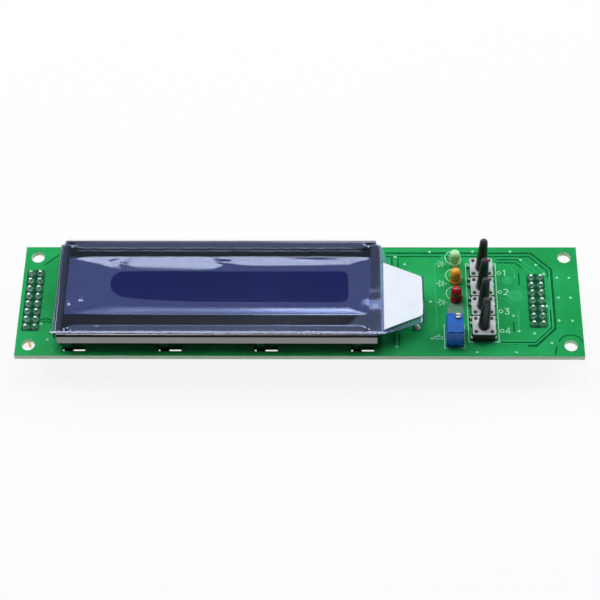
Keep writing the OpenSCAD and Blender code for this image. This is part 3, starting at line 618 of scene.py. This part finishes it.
# Lines of copper on the board, each a list of corners
TRACE_W = 0.38
TRACES = [
    [(23.6, 15.35), (63.6, 15.35), (68.6, 10.2), (68.6, -8.9), (63.6, -14.0), (54.4, -14.0)],
    [(54.4, -13.1), (63.3, -13.1), (67.7, -8.7), (67.7, -2.4)],
    [(54.3, 14.2), (60.2, 14.2), (61.1, 13.4), (65.0, 9.6)],
    [(54.3, 13.2), (59.7, 13.2), (64.0, 9.0)],
    [(56.0, 12.6), (59.0, 9.7), (59.0, 7.2)],
    [(58.4, 5.6), (61.7, 2.4), (63.2, 2.4)],
    [(54.4, 0.6), (55.8, 0.6), (59.3, -2.6), (59.3, -10.0)],
    [(62.1, -0.5), (60.4, -2.1)],
    [(66.6, 0.4), (68.1, -1.2), (68.1, -2.6)],
    [(67.1, 9.0), (65.2, 11.8)],
    [(24.6, 11.2), (24.6, 14.3)],
    [(26.3, 11.2), (26.3, 14.4)],
    [(26.3, -14.8), (26.3, -10.6)],
    [(24.7, -17.2), (67.8, -17.2)],
    [(37.2, 11.2), (37.2, -9.2)],
    [(37.2, 11.2), (39.8, 15.35)],
    [(45.5, 16.9), (23.6, 16.9)],
    arc((66.6, 5.5), 1.7, 75, -85, 12),
    arc((-67.8, -14.6), 2.6, 20, -130, 14),
]
ROUND_PADS = (((56.9, 6.7), 1.5), ((58.8, 1.5), 2.1))  # middle and radius

# Dark gaps between copper areas
WIDE_GAP_W, GAP_W = 0.7, 0.42
WIDE_GAP = [(23.6, 15.9), (63.8, 15.9), (69.15, 10.4), (69.15, -9.1), (63.8, -14.6), (61.4, -14.6)]
GAPS = [
    [(23.6, 14.8), (63.3, 14.8), (68.05, 10.0), (68.05, 7.6)],
    [(54.4, 13.7), (59.9, 13.7), (60.9, 12.7)],
    [(54.4, 12.7), (59.4, 12.7), (61.2, 11.0)],
    [(54.4, -13.55), (63.5, -13.55), (68.15, -8.8), (68.15, -3.0)],
    [(58.0, -10.0), (58.0, -6.8)],
    [(60.2, 9.2), (60.2, 5.2)],
    [(25.4, 11.4), (25.4, 14.4)],
    [(27.1, 11.4), (27.1, 14.2)],
    [(25.6, -14.4), (25.6, -10.8)],
    [(27.0, -14.6), (27.0, -10.8)],
    [(-70.7, -6.6), (-69.0, -6.0), (-67.2, -6.6)],
    [(-70.4, -7.5), (-69.0, -6.9), (-67.4, -7.4)],
    [(-71.0, 11.9), (-66.0, 16.4)],
    arc((73.0, -14.5), 3.4, 160, 20, 14),
    [(69.2, -14.6), (68.6, -17.4)],
]
PIN_GAP_R, PAD_GAP_R = (0.7, 1.24), (0.9, 1.2)  # rings round header pins and resistor pads

VIA_HOLE_R, VIA_R = 0.2, 0.55
VIAS = [
    (35.9, 16.4), (47.8, 16.5), (58.2, 16.5), (28.9, 12.1), (26.3, 14.6), (35.7, -0.4),
    (35.8, -12.4), (26.3, -15.0), (47.8, -16.8), (58.2, -16.8), (61.0, 13.6), (65.1, 11.9),
    (67.1, 8.9), (67.3, -1.8), (58.0, -5.0), (59.3, -10.0), (63.4, -10.7), (67.9, -13.8),
    (70.6, 7.6), (73.9, 7.6), (70.6, 1.0), (73.9, 1.0), (70.3, -6.5), (73.9, -6.6),
    (-68.0, -12.9), (-70.1, -7.8),
]

# Painted reflection: a greyish patch between the red lamp and the trimmer
REFLECTION_OUTLINE = [
    (40.2, -7.9), (44.5, -7.9), (44.7, -4.0), (44.4, -1.0),
    (43.2, -0.6), (40.8, -0.8), (40.3, -2.6),
]

# The slots for the bezel's lugs
SLOT_XS, SLOT_Y = (-60.55, -34.65, -8.75, 17.15), 15.75
SLOT_L, SLOT_W = 6.8, 2.0
LINING_W, LINING_INSET, LINING_R = 0.44, 0.48, 0.4
LINING_SHORT = 0.03  # how far the lining ends inside each face of the board


def copper_layer():
    traces = Build()
    for line in TRACES:
        traces.strip(line, TRACE_W, *layer(COPPER_RISE))
    for place in VIAS:
        traces.ring(place, VIA_HOLE_R, VIA_R, *layer(COPPER_RISE), steps=20)
    for place, radius in ROUND_PADS:
        traces.slab(arc(place, radius, 0, 345, 23), *layer(PAD_RISE))
    traces.piece("mask_over_traces", COPPER_MASK, bevel_mm=0.03)


def bare_fields():
    """Darker fields under the headers, where the board has no copper under its mask, darkened
    further with painted shade round the joints.
    """
    wide, corner = 2.4, 0.5
    bare = Build()
    for center, rows in HEADERS:
        half = rows * PIN_PITCH / 2
        field = [
            (corner - wide, -half), (wide - corner, -half),
            (wide, corner - half), (wide, half - corner),
            (wide - corner, half), (corner - wide, half),
            (-wide, half - corner), (-wide, corner - half),
        ]
        bare.slab([(center.x + x, y) for x, y in field], *layer(BARE_RISE))
    bare.piece("mask_over_laminate_and_shade", mask_over_laminate_and_shade())


def gap_layer():
    gaps = Build()
    gaps.strip(WIDE_GAP, WIDE_GAP_W, *layer(GAP_RISE))
    for line in GAPS:
        gaps.strip(line, GAP_W, *layer(GAP_RISE))
    for place in PINS:
        gaps.ring(place, *PIN_GAP_R, *layer(PIN_GAP_RISE))
    for place in RESISTOR_PADS:
        gaps.ring(place, *PAD_GAP_R, *layer(GAP_RISE))
    gaps.piece("mask_over_gaps", GAP_MASK)


def flux_stain():
    residue = Build()
    residue.slab(REFLECTION_OUTLINE, *layer(REFLECTION_RISE))
    residue.piece("reflection_patch", painted_reflection())


def slot_linings():
    """Solder mask that has run into the slots, and narrows them."""
    half_l, half_w = SLOT_L / 2 - LINING_INSET, SLOT_W / 2 - LINING_INSET
    corners = (
        (half_l, half_w, 0), (-half_l, half_w, 90), (-half_l, -half_w, 180), (half_l, -half_w, 270),
    )
    low, high = BOARD_LOW.z + LINING_SHORT, BOARD_TOP - LINING_SHORT
    lining = Build()
    for x in SLOT_XS:
        for y in (-SLOT_Y, SLOT_Y):
            line = []
            for dx, dy, start in corners:
                line += arc((x + dx, y + dy), LINING_R, start, start + 90, 4)
            lining.strip(line, LINING_W, low, high, closed=True)
    # The lining's upright faces take the mask's painted shade for the slots.
    lining.piece("mask_in_slots", MASK)


def via_plugs():
    low, high = layer(0.0)
    profile = [(0.36, low), (0.36, high + 0.05), (0.29, high + 0.09), (0.13, high + 0.11)]
    plugs = Build()
    for place in VIAS:
        plugs.lathe(place, profile, 16)
    plugs.piece("via_plugs", SILK, smooth=True)


def stroke_sign(build, origin, size, strokes, width):
    """Draws strokes given in a unit box, at origin, in the ink's layer."""
    for stroke in strokes:
        points = [(origin[0] + u * size[0], origin[1] + v * size[1]) for u, v in stroke]
        closed = points[0] == points[-1]
        build.strip(points[:-1] if closed else points, width, *layer(INK_RISE), closed=closed)


DIGITS = {
    "1": [[(0.15, 0.78), (0.5, 1.0), (0.5, 0.0)]],
    "2": [
        [
            (0.0, 0.78), (0.2, 0.97), (0.75, 0.97), (1.0, 0.75),
            (0.95, 0.55), (0.0, 0.03), (1.0, 0.03),
        ],
    ],
    "3": [
        [
            (0.0, 0.97), (0.95, 0.97), (0.45, 0.6), (0.8, 0.55),
            (1.0, 0.33), (0.85, 0.08), (0.5, 0.0), (0.0, 0.12),
        ],
    ],
    "4": [[(0.75, 0.0), (0.75, 1.0), (0.0, 0.3), (1.05, 0.3)]],
}
DIODE = [
    [(0.0, 0.5), (0.3, 0.5)],
    [(0.3, 0.0), (0.3, 1.0), (0.68, 0.5), (0.3, 0.0)],
    [(0.68, 0.0), (0.68, 1.0)],
    [(0.68, 0.5), (1.0, 0.5)],
]
POTENTIOMETER = [
    [(0.0, 0.3), (0.0, 0.75), (1.0, 0.75), (1.0, 0.3), (0.0, 0.3)],
    [(0.5, 1.25), (0.5, 0.85)],
    [(0.3, 1.05), (0.5, 0.85), (0.7, 1.05)],
]
FRAME_W, SIGN_W, DIGIT_W = 0.26, 0.24, 0.34  # widths of the printed lines
DIODE_X, DIODE_SIZE = 37.4, (2.9, 1.9)
DIODE_DROPS = {"green": 1.6, "amber": 2.2, "red": 2.5}  # from each lamp forward to its sign's foot
DIGIT_X, DIGIT_SIZE = 55.8, (1.15, 1.9)
DOT_X, DOT_R = 54.75, (0.36, 0.62)
LAMP_RING_R = (1.98, 2.22)
KEY_FRAME = (45.7, -13.4, 53.85, 12.3)  # left, front, right and rear edge of the line round the keys
POTENTIOMETER_PLACE, POTENTIOMETER_SIZE = (36.6, -12.9), (2.1, 1.6)


def frame_line(build, x0, y0, x1, y1):
    build.strip([(x0, y0), (x1, y0), (x1, y1), (x0, y1)], FRAME_W, *layer(INK_RISE), closed=True)


def print_layer():
    ink = Build()
    for color, drop in DIODE_DROPS.items():
        lamp = middle(f"{color}_lamp")
        ink.ring((lamp.x - 0.6, lamp.y + 1.5), *LAMP_RING_R, *layer(INK_RISE))
        stroke_sign(ink, (DIODE_X, lamp.y - drop), DIODE_SIZE, DIODE, SIGN_W)
    for i in KEYS:
        key = middle(f"key_cover_{i}")
        stroke_sign(ink, (DIGIT_X, key.y - 0.5), DIGIT_SIZE, DIGITS[str(i)], DIGIT_W)
        ink.ring((DOT_X, key.y + 0.45), *DOT_R, *layer(INK_RISE), steps=24)
    frame_line(ink, *KEY_FRAME)
    low, high = TRIMMER_LOW, TRIMMER_HIGH
    frame_line(ink, low.x - 0.3, low.y - 0.35, high.x + 0.6, high.y + 0.4)
    stroke_sign(ink, POTENTIOMETER_PLACE, POTENTIOMETER_SIZE, POTENTIOMETER, SIGN_W)
    ink.piece("printed_ink", SILK)


def trimmer_mark():
    """A turning arrow stamped in dark ink on the trimmer's top."""
    low, high = TRIMMER_HIGH.z - 0.05, TRIMMER_HIGH.z + 0.02
    x, y = middle("trimmer_body").x - 0.2, TRIMMER_LOW.y + 2.2
    mark = Build()
    mark.strip(arc((x, y), 1.05, 150, 400, 20), 0.34, low, high)
    mark.slab([(x - 1.5, y + 0.45), (x - 0.35, y + 0.45), (x - 0.95, y + 1.25)], low, high)
    mark.strip([(x - 0.35, y), (x + 0.35, y)], 0.3, low, high)
    mark.piece("trimmer_mark", dark_ink())


copper_layer()
bare_fields()
gap_layer()
flux_stain()
slot_linings()
via_plugs()
print_layer()
trimmer_mark()


# ---- Solder joints on the top ----


def solder_fillets():
    """Flared joints with rounded tops round each pin's tail, in place of the plain CAD cones."""
    base = BOARD_TOP - 0.02
    tip = base + span("left_header_pins")[1].z - BOARD_TOP
    profile = [
        (0.88, base), (0.88, base + 0.08), (0.78, base + 0.18), (0.66, base + 0.40),
        (0.57, base + 0.66), (0.53, tip - 0.30), (0.50, tip - 0.10), (0.41, tip + 0.02),
        (0.27, tip + 0.09), (0.11, tip + 0.12),
    ]
    joints = Build()
    for place in PINS:
        joints.lathe(place, profile)
    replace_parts(joints.piece("solder_fillets", SOLDER, smooth=True), "top_solder_joints")
    wires = Build()
    for place in RESISTOR_PADS:
        wires.lathe(place, profile)
    # The resistor's joints take the pale solder: painted light.
    wires.piece("resistor_fillets", SOLDER_PAINTED_LIGHT, smooth=True)


solder_fillets()


# ---- Pieces that start as copies of CAD pieces ----


def stand_in(name, node):
    """A piece of its own with a copy of a CAD node's mesh and material, which replaces the node."""
    obj = new_object(name, NODES[node].data.copy())
    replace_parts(obj, node)
    return obj


def snap_domes():
    """Copies of the key domes, each with a mesh of its own, which replace the CAD domes."""
    for i in KEYS:
        cad = f"key_dome_{i}"
        dome = stand_in(f"snap_dome_{i}", cad)
        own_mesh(dome)


def trimmer_shell():
    """The trimmer's body with small radii along its edges, as moulded plastic has."""
    bevel_edges(stand_in("trimmer_shell", "trimmer_body"), 0.22, 3, 40)


snap_domes()
trimmer_shell()


# ---- Protective film ----

FILM_T = 0.12
FILM_GAP = 0.02  # between the film and what it lies on
FACE = BEZEL_HIGH.z - 0.45  # the bezel's flat face, below its two beads
WINDOW = (-63.05, 19.45, -8.9, 10.1)  # left, right, front and rear edge

# The two beads along the bezel's long sides, and how the film bridges them
BEAD_Y = 13.6
BEAD_ENDS = (-62.5, 18.9)
BEAD_FADE_L, BEAD_STRETCH = 3.2, 0.4  # at a bead's ends the film comes down over a longer way
BEAD_REACH, BEAD_SLOPE_W = 1.45, 0.55

# The patch where the film clings to the glass, and the slopes round it
CLING_LEFT, CLING_RIGHT, CLING_REAR = -51.0, 13.1, 5.4
CLING_FRONT, CLING_CURVE, CLING_CURVE_L = -4.4, 2.4, 9.0
CLING_R_LEFT, CLING_R_RIGHT = 3.2, 1.8
REAR_POWER, FRONT_POWER = 1.7, 2.2
SLOPE_NORM = 4  # blends the four slopes into each other at the corners

FRONT_RIPPLE, REAR_RIPPLE = 0.008, 0.03  # unevenness of the slopes

# Beyond the beads the film droops over the bezel's bends: from where, over what width, and how far
DROOP_FROM, DROOP_W = BEAD_Y + 1.0, 0.9
FRONT_DROOP, REAR_DROOP = 0.17, 0.05

# How milky the film is painted: partly its own haze, mostly painted reflection of the lifted and
# creased film
FACE_SHEEN, WINDOW_SHEEN, BEAD_SHEEN = 0.004, 0.11, 0.12
LEFT_BAND_SHEEN, TONGUE_SHEEN, CORNER_SHEEN = 0.06, 0.15, 0.10

# The sheet's outline
FILM_STEP = 0.34  # from one point to the next
TONGUE_FROM, TONGUE_TO, TONGUE_ROWS = BEZEL_HIGH.x + 0.6, FILM_HIGH.x, 8
TAB_WIDTHS = (21.8, 13.2)  # the white tab's width at the bezel and at its tip
TONGUE_PAST_TAB = 1.4  # at the front
CORNER_CUTS = (2.2, 2.4)  # of the rear corners, left and right, at 45 degrees
# The left end overhangs the bezel at the front only: how far, from which x, and back to which y
OVERHANG, OVERHANG_FROM, OVERHANG_BACK_TO = 0.65, -62.0, -14.0

WRINKLES = [
    # (x, y, length, width, height, angle in degrees)
    (-50.5, 8.8, 3.0, 1.0, 0.14, 12),
    (-48.2, 8.0, 2.4, 0.9, -0.18, -24),
    (-46.4, 8.9, 2.0, 0.8, 0.10, 30),
    (-22.6, 9.4, 6.0, 0.8, 0.10, 2),
    (-20.5, 8.6, 6.0, 0.8, -0.16, -6),
    (-9.0, 8.6, 14.0, 0.9, 0.06, 1),
    (4.5, 9.2, 12.0, 0.8, -0.07, -2),
    (17.2, -4.2, 3.4, 3.2, 0.08, 70),
    (21.0, -1.0, 5.0, 2.4, 0.08, 4),
    (21.6, -4.8, 4.0, 4.4, 0.17, 2),
    (-62.1, -5.2, 1.2, 1.0, 0.12, 30),
    (-59.0, -3.8, 1.2, 1.0, 0.12, 30),
    (-53.5, -13.3, 1.2, 1.0, -0.10, 5),
]


def smooth_step(t):
    t = min(max(t, 0.0), 1.0)
    return t * t * (3 - 2 * t)


def cling_front(x):
    """Front edge of the patch, which curves back towards its left end."""
    return CLING_FRONT + CLING_CURVE * math.exp(-max(x - CLING_LEFT, 0.0) / CLING_CURVE_L)


def outside_cling(x, y):
    """Distance outside the patch, which has rounded corners and a slightly wavy edge."""
    front = cling_front(x)
    radius = CLING_R_RIGHT if x > 0 else CLING_R_LEFT
    mid_x, mid_y = (CLING_LEFT + CLING_RIGHT) / 2, (front + CLING_REAR) / 2
    dx = abs(x - mid_x) - ((CLING_RIGHT - CLING_LEFT) / 2 - radius)
    dy = abs(y - mid_y) - ((CLING_REAR - front) / 2 - radius)
    wander = 0.12 * noise.noise(Vector((x * 0.3, y * 0.3, 3.0)))
    return math.hypot(max(dx, 0.0), max(dy, 0.0)) + min(max(dx, dy), 0.0) - radius + wander


def lift(x, y):
    """How far up the film is, from 0 on the glass to 1 at the window's edge, in four slopes."""
    left, right, front, rear = WINDOW
    rear_from = CLING_REAR + 2.0 * smooth_step((x + 25) / 5)
    front_from = cling_front(x)
    rises = (
        (CLING_LEFT - x) / (CLING_LEFT - left),
        (x - CLING_RIGHT) / (right - CLING_RIGHT),
        (max(y - rear_from, 0.0) / (rear - rear_from)) ** REAR_POWER,
        (max(front_from - y, 0.0) / (front_from - front)) ** FRONT_POWER,
    )
    return sum(max(rise, 0.0) ** SLOPE_NORM for rise in rises) ** (1 / SLOPE_NORM)


def inside_window(x, y):
    """Distance inside the bezel's window."""
    left, right, front, rear = WINDOW
    return min(x - left, right - x, y - front, rear - y)


def wrinkle(x, y):
    total = 0.0
    for x0, y0, length, width, height, angle in WRINKLES:
        a = math.radians(angle)
        dx, dy = x - x0, y - y0
        along = dx * math.cos(a) + dy * math.sin(a)
        across = -dx * math.sin(a) + dy * math.cos(a)
        total += height * math.exp(-((along / length * 2) ** 2) - (across / width * 2) ** 2)
    return total


def on_bead(x, y):
    """1 on top of a bead, 0 off it, for a film pulled over it."""
    past_end = max(BEAD_ENDS[0] + BEAD_FADE_L - x, x - BEAD_ENDS[1] + BEAD_FADE_L, 0.0)
    away = math.hypot(BEAD_STRETCH * past_end, abs(y) - BEAD_Y)
    return smooth_step((BEAD_REACH - away) / BEAD_SLOPE_W)


def film_height(x, y):
    """Height of the film's underside."""
    low, top, on_face = FILM_LOW.z, FILM_HIGH.z - FILM_T, FACE + FILM_GAP
    inside = inside_window(x, y)
    share = min(lift(x, y), 1.0) if inside > 0 else 1.0
    slack = smooth_step(inside / 2) * smooth_step(share * 3)
    ripple = (REAR_RIPPLE if y > 0 else FRONT_RIPPLE) * noise.noise(Vector((x * 0.07, y * 0.2, 0.0)))
    z = low + (on_face - low) * share + slack * ripple
    z += (top - on_face) * on_bead(x, y) + wrinkle(x, y)
    if abs(y) > BEAD_Y + 0.8:
        z = top - (FRONT_DROOP if y < 0 else REAR_DROOP) * max(abs(y) - DROOP_FROM, 0.0) / DROOP_W
    return min(max(z, low if inside > 0 else FACE), top)


def crease_marks(x, y):
    """Painted highlights by the pulled end: a wedge in the window, stripes on the face, and the
    fold.
    """
    t = (x - 15.2) / 3.6
    if 0 < t < 1:
        return 0.9 * t * t * smooth_step((0.5 + 1.0 * t - abs(y + 4.2 + 0.7 * t)) / 0.6)
    if t < 1:
        return 0.0
    faint = 0.22 * smooth_step((1.0 - abs(y + 1.2)) / 0.6)
    strong = 0.45 * smooth_step((2.0 - abs(y + 5.7)) / 0.8)
    fold = smooth_step((x - BEZEL_HIGH.x + 0.1) / 0.2) * smooth_step((TAB_LOW.x + 0.5 - x) / 0.2)
    return max(faint + strong, fold * (0.6 if TAB_LOW.y < y < TAB_HIGH.y else 0.25))


def film_sheen(x, y):
    """How milky the film is painted, partly its own haze and mostly painted reflection: not at all
    where it clings, and least on the bezel's face.
    """
    left, right, front, _ = WINDOW
    if inside_window(x, y) > 0:
        base = WINDOW_SHEEN * smooth_step(outside_cling(x, y) / 0.35)
    else:
        base = FACE_SHEEN
    left_band = smooth_step((1.1 - abs(x - left + 1.3)) / 0.5)
    right_end = (0.08 + 0.03 * smooth_step((-1 - y) / 5)) * smooth_step((x - right + 0.3) / 0.6)
    tongue = smooth_step((x - TAB_LOW.x - 0.5) / 0.5)
    corner = smooth_step((x - 15.5 - (y + 9) * 0.8) / 1.0) * smooth_step((front + 0.2 - y) / 0.4)
    return max(
        base, BEAD_SHEEN * on_bead(x, y), LEFT_BAND_SHEEN * left_band, crease_marks(x, y),
        TONGUE_SHEEN * tongue, right_end, CORNER_SHEEN * corner,
    )


def steps(start, end, size, fine):
    """Places from start to end, closer together round each of the fine places."""
    places, at = [start], start
    while at < end:
        near = min(abs(at - f) for f in fine)
        at = min(at + (size / 3 if near < size * 2 else size), end)
        places.append(at)
    return places


def film_limits(x):
    """Front and rear edge of the sheet at x."""
    front, rear = FILM_LOW.y, FILM_HIGH.y
    if x <= TONGUE_FROM:
        cut_left, cut_right = CORNER_CUTS
        return front, rear - max(FILM_LOW.x + cut_left - x, x - TONGUE_FROM + cut_right, 0.0)
    wide, narrow = TAB_WIDTHS
    t = (x - TONGUE_FROM) / (TONGUE_TO - TONGUE_FROM)
    half = (wide * (1 - t) + narrow * t) / 2
    middle_y = (TAB_LOW.y + TAB_HIGH.y) / 2
    return max(front, middle_y - half - TONGUE_PAST_TAB), middle_y + half


def with_overhang(x, y):
    """The x of a point of the sheet, with its left end drawn in behind the front corner."""
    if x > OVERHANG_FROM:
        return x
    full = FILM_LOW.x - OVERHANG_FROM
    drawn_in = full + OVERHANG * smooth_step((y - OVERHANG_BACK_TO) / 2)
    return OVERHANG_FROM + (x - OVERHANG_FROM) * drawn_in / full


def protective_film():
    """The film as one closed sheet, with its painted sheen, mostly painted reflection, as an
    attribute.
    """
    y0, y1 = FILM_LOW.y, FILM_HIGH.y
    xs = steps(FILM_LOW.x, TONGUE_FROM, FILM_STEP, WINDOW[:2])
    tongue_l = TONGUE_TO - TONGUE_FROM
    xs += [TONGUE_FROM + tongue_l * k / TONGUE_ROWS for k in range(1, TONGUE_ROWS + 1)]
    bead_sides = [side * BEAD_Y + edge for side in (-1, 1) for edge in (-1.2, 1.2)]
    ys = steps(y0, y1, FILM_STEP, [*bead_sides, *WINDOW[2:]])

    verts, values = [], []
    for x in xs:
        front, rear = film_limits(x)
        for y in ys:
            place_y = front + (rear - front) * (y - y0) / (y1 - y0)
            place_x = with_overhang(x, place_y)
            verts.append((place_x, place_y, film_height(place_x, place_y)))
            values.append(film_sheen(place_x, place_y))
    rows, side, count = len(xs), len(ys), len(verts)
    top = [(x, y, z + FILM_T) for x, y, z in verts]
    faces = []
    for i in range(rows - 1):
        for j in range(side - 1):
            a = i * side + j
            under = (a, a + 1, a + side + 1, a + side)
            faces += [under, tuple(count + k for k in (a, a + side, a + side + 1, a + 1))]
    border = (
        [i * side for i in range(rows)]
        + [(rows - 1) * side + j for j in range(1, side)]
        + [i * side + side - 1 for i in range(rows - 2, -1, -1)]
        + list(range(side - 2, 0, -1))
    )
    for a, b in zip(border, border[1:] + border[:1]):
        faces.append((a, b, b + count, a + count))
    build = Build()
    build.add(verts + top, faces)
    film = build.piece("film_sheet", film_clear(), smooth=True)
    sheen_layer = film.data.attributes.new("film_sheen", "FLOAT", "POINT")
    sheen_layer.data.foreach_set("value", [0.0] * count + values)
    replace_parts(film, "protective_film")


protective_film()


# ---- Stage, light and camera ----

FLOOR_REACH = 3.0
FLOOR_DROP = 0.0002  # below the pins' tips
FLOOR_GLOW = 0.88  # share of plain white in what the camera and reflections see of the floor


def floor_white():
    """A floor that lights the part as white paper does, but looks nearly shadowless."""
    s = Shade("floor_white", (0.86, 0.86, 0.86), 1.0)
    paper = s.new("ShaderNodeBsdfDiffuse")
    paper.inputs["Color"].default_value = (0.86, 0.86, 0.86, 1)
    glow = s.new("ShaderNodeEmission")
    glow.inputs["Color"].default_value = (1, 1, 1, 1)
    rays = s.new("ShaderNodeLightPath").outputs
    mirrored = s.math("MAXIMUM", rays["Is Glossy Ray"], rays["Is Transmission Ray"])
    seen = s.math("MAXIMUM", rays["Is Camera Ray"], mirrored)
    look = s.mix_shader(s.math("MULTIPLY", seen, FLOOR_GLOW), paper.outputs[0], glow.outputs[0])
    s.link(look, s.out.inputs["Surface"])
    return s.mat


def stage():
    mesh = bpy.data.meshes.new("floor")
    signs = ((-1, -1), (1, -1), (1, 1), (-1, 1))
    corners = [(x * FLOOR_REACH, y * FLOOR_REACH, 0) for x, y in signs]
    mesh.from_pydata(corners, [], [(0, 1, 2, 3)])
    mesh.materials.append(floor_white())
    floor = bpy.data.objects.new("floor", mesh)
    floor.location.z = -FLOOR_DROP
    bpy.context.scene.collection.objects.link(floor)


def world():
    studio = bpy.data.worlds.new("studio")
    studio.use_nodes = True
    background = studio.node_tree.nodes["Background"]
    background.inputs["Color"].default_value = (0.70, 0.85, 1.0, 1)
    background.inputs["Strength"].default_value = 0.05
    bpy.context.scene.world = studio


WHITE = (1, 1, 1)
BLUISH = (0.86, 0.90, 1.0)
SOFTBOXES = (
    # name, zenith, azimuth, distance, size, radiance and tint, in degrees and metres
    ("overhead", 15, 205, 0.75, (0.30, 0.34), 6.8, WHITE),
    ("back_strip", 50.5, 168.4, 1.2, (0.48, 0.26), 4.2, BLUISH),
    ("back_strip_end", 50.5, 188, 1.2, (0.16, 0.26), 1.0, BLUISH),
    ("rear_left", 50, 235, 1.2, (0.6, 0.6), 5.6, WHITE),
    ("rear_right", 50, 125, 1.2, (0.6, 0.6), 6.2, WHITE),
)


def softbox(name, zenith, azimuth, distance, size, radiance, tint):
    """An area light aimed at the object. Azimuth 0 is in front (-Y) and zenith 0 overhead."""
    a, z = math.radians(azimuth), math.radians(zenith)
    way = Vector((math.sin(a) * math.sin(z), -math.cos(a) * math.sin(z), math.cos(z)))
    lamp = bpy.data.lights.new(name, "AREA")
    lamp.shape = "RECTANGLE"
    lamp.size, lamp.size_y = size
    lamp.energy = radiance * math.pi * size[0] * size[1]
    lamp.color = tint
    obj = bpy.data.objects.new(name, lamp)
    obj.location = way * distance
    obj.rotation_euler = way.to_track_quat("Z", "Y").to_euler()
    bpy.context.scene.collection.objects.link(obj)


CAMERA_ELEVATION, CAMERA_TURN, CAMERA_ROLL = 55.61, -2.21, -1.76  # degrees
CAMERA_DISTANCE = 0.4985
CAMERA_TARGET = (0.12, 0.18, BOARD_TOP)
LENS, SENSOR_W = 109.44, 36


def camera():
    """The photograph's view: nearly square on to the long side, from well above."""
    elevation, turn, roll = (math.radians(a) for a in (CAMERA_ELEVATION, CAMERA_TURN, CAMERA_ROLL))
    level = math.cos(elevation)
    back = Vector((-math.sin(turn) * level, -math.cos(turn) * level, math.sin(elevation)))
    right = Vector((0, 0, 1)).cross(back).normalized()
    up = back.cross(right)
    right, up = (
        right * math.cos(roll) + up * math.sin(roll),
        up * math.cos(roll) - right * math.sin(roll),
    )
    data = bpy.data.cameras.new("camera")
    data.sensor_width = SENSOR_W
    data.lens = LENS
    obj = bpy.data.objects.new("camera", data)
    place = Vector(CAMERA_TARGET) * MM + back * CAMERA_DISTANCE
    turned = Matrix((right, up, back)).transposed().to_4x4()
    obj.matrix_world = Matrix.Translation(place) @ turned
    bpy.context.scene.collection.objects.link(obj)
    bpy.context.scene.camera = obj


stage()
world()
for box in SOFTBOXES:
    softbox(*box)
camera()
view = bpy.context.scene.view_settings
view.view_transform = "Standard"
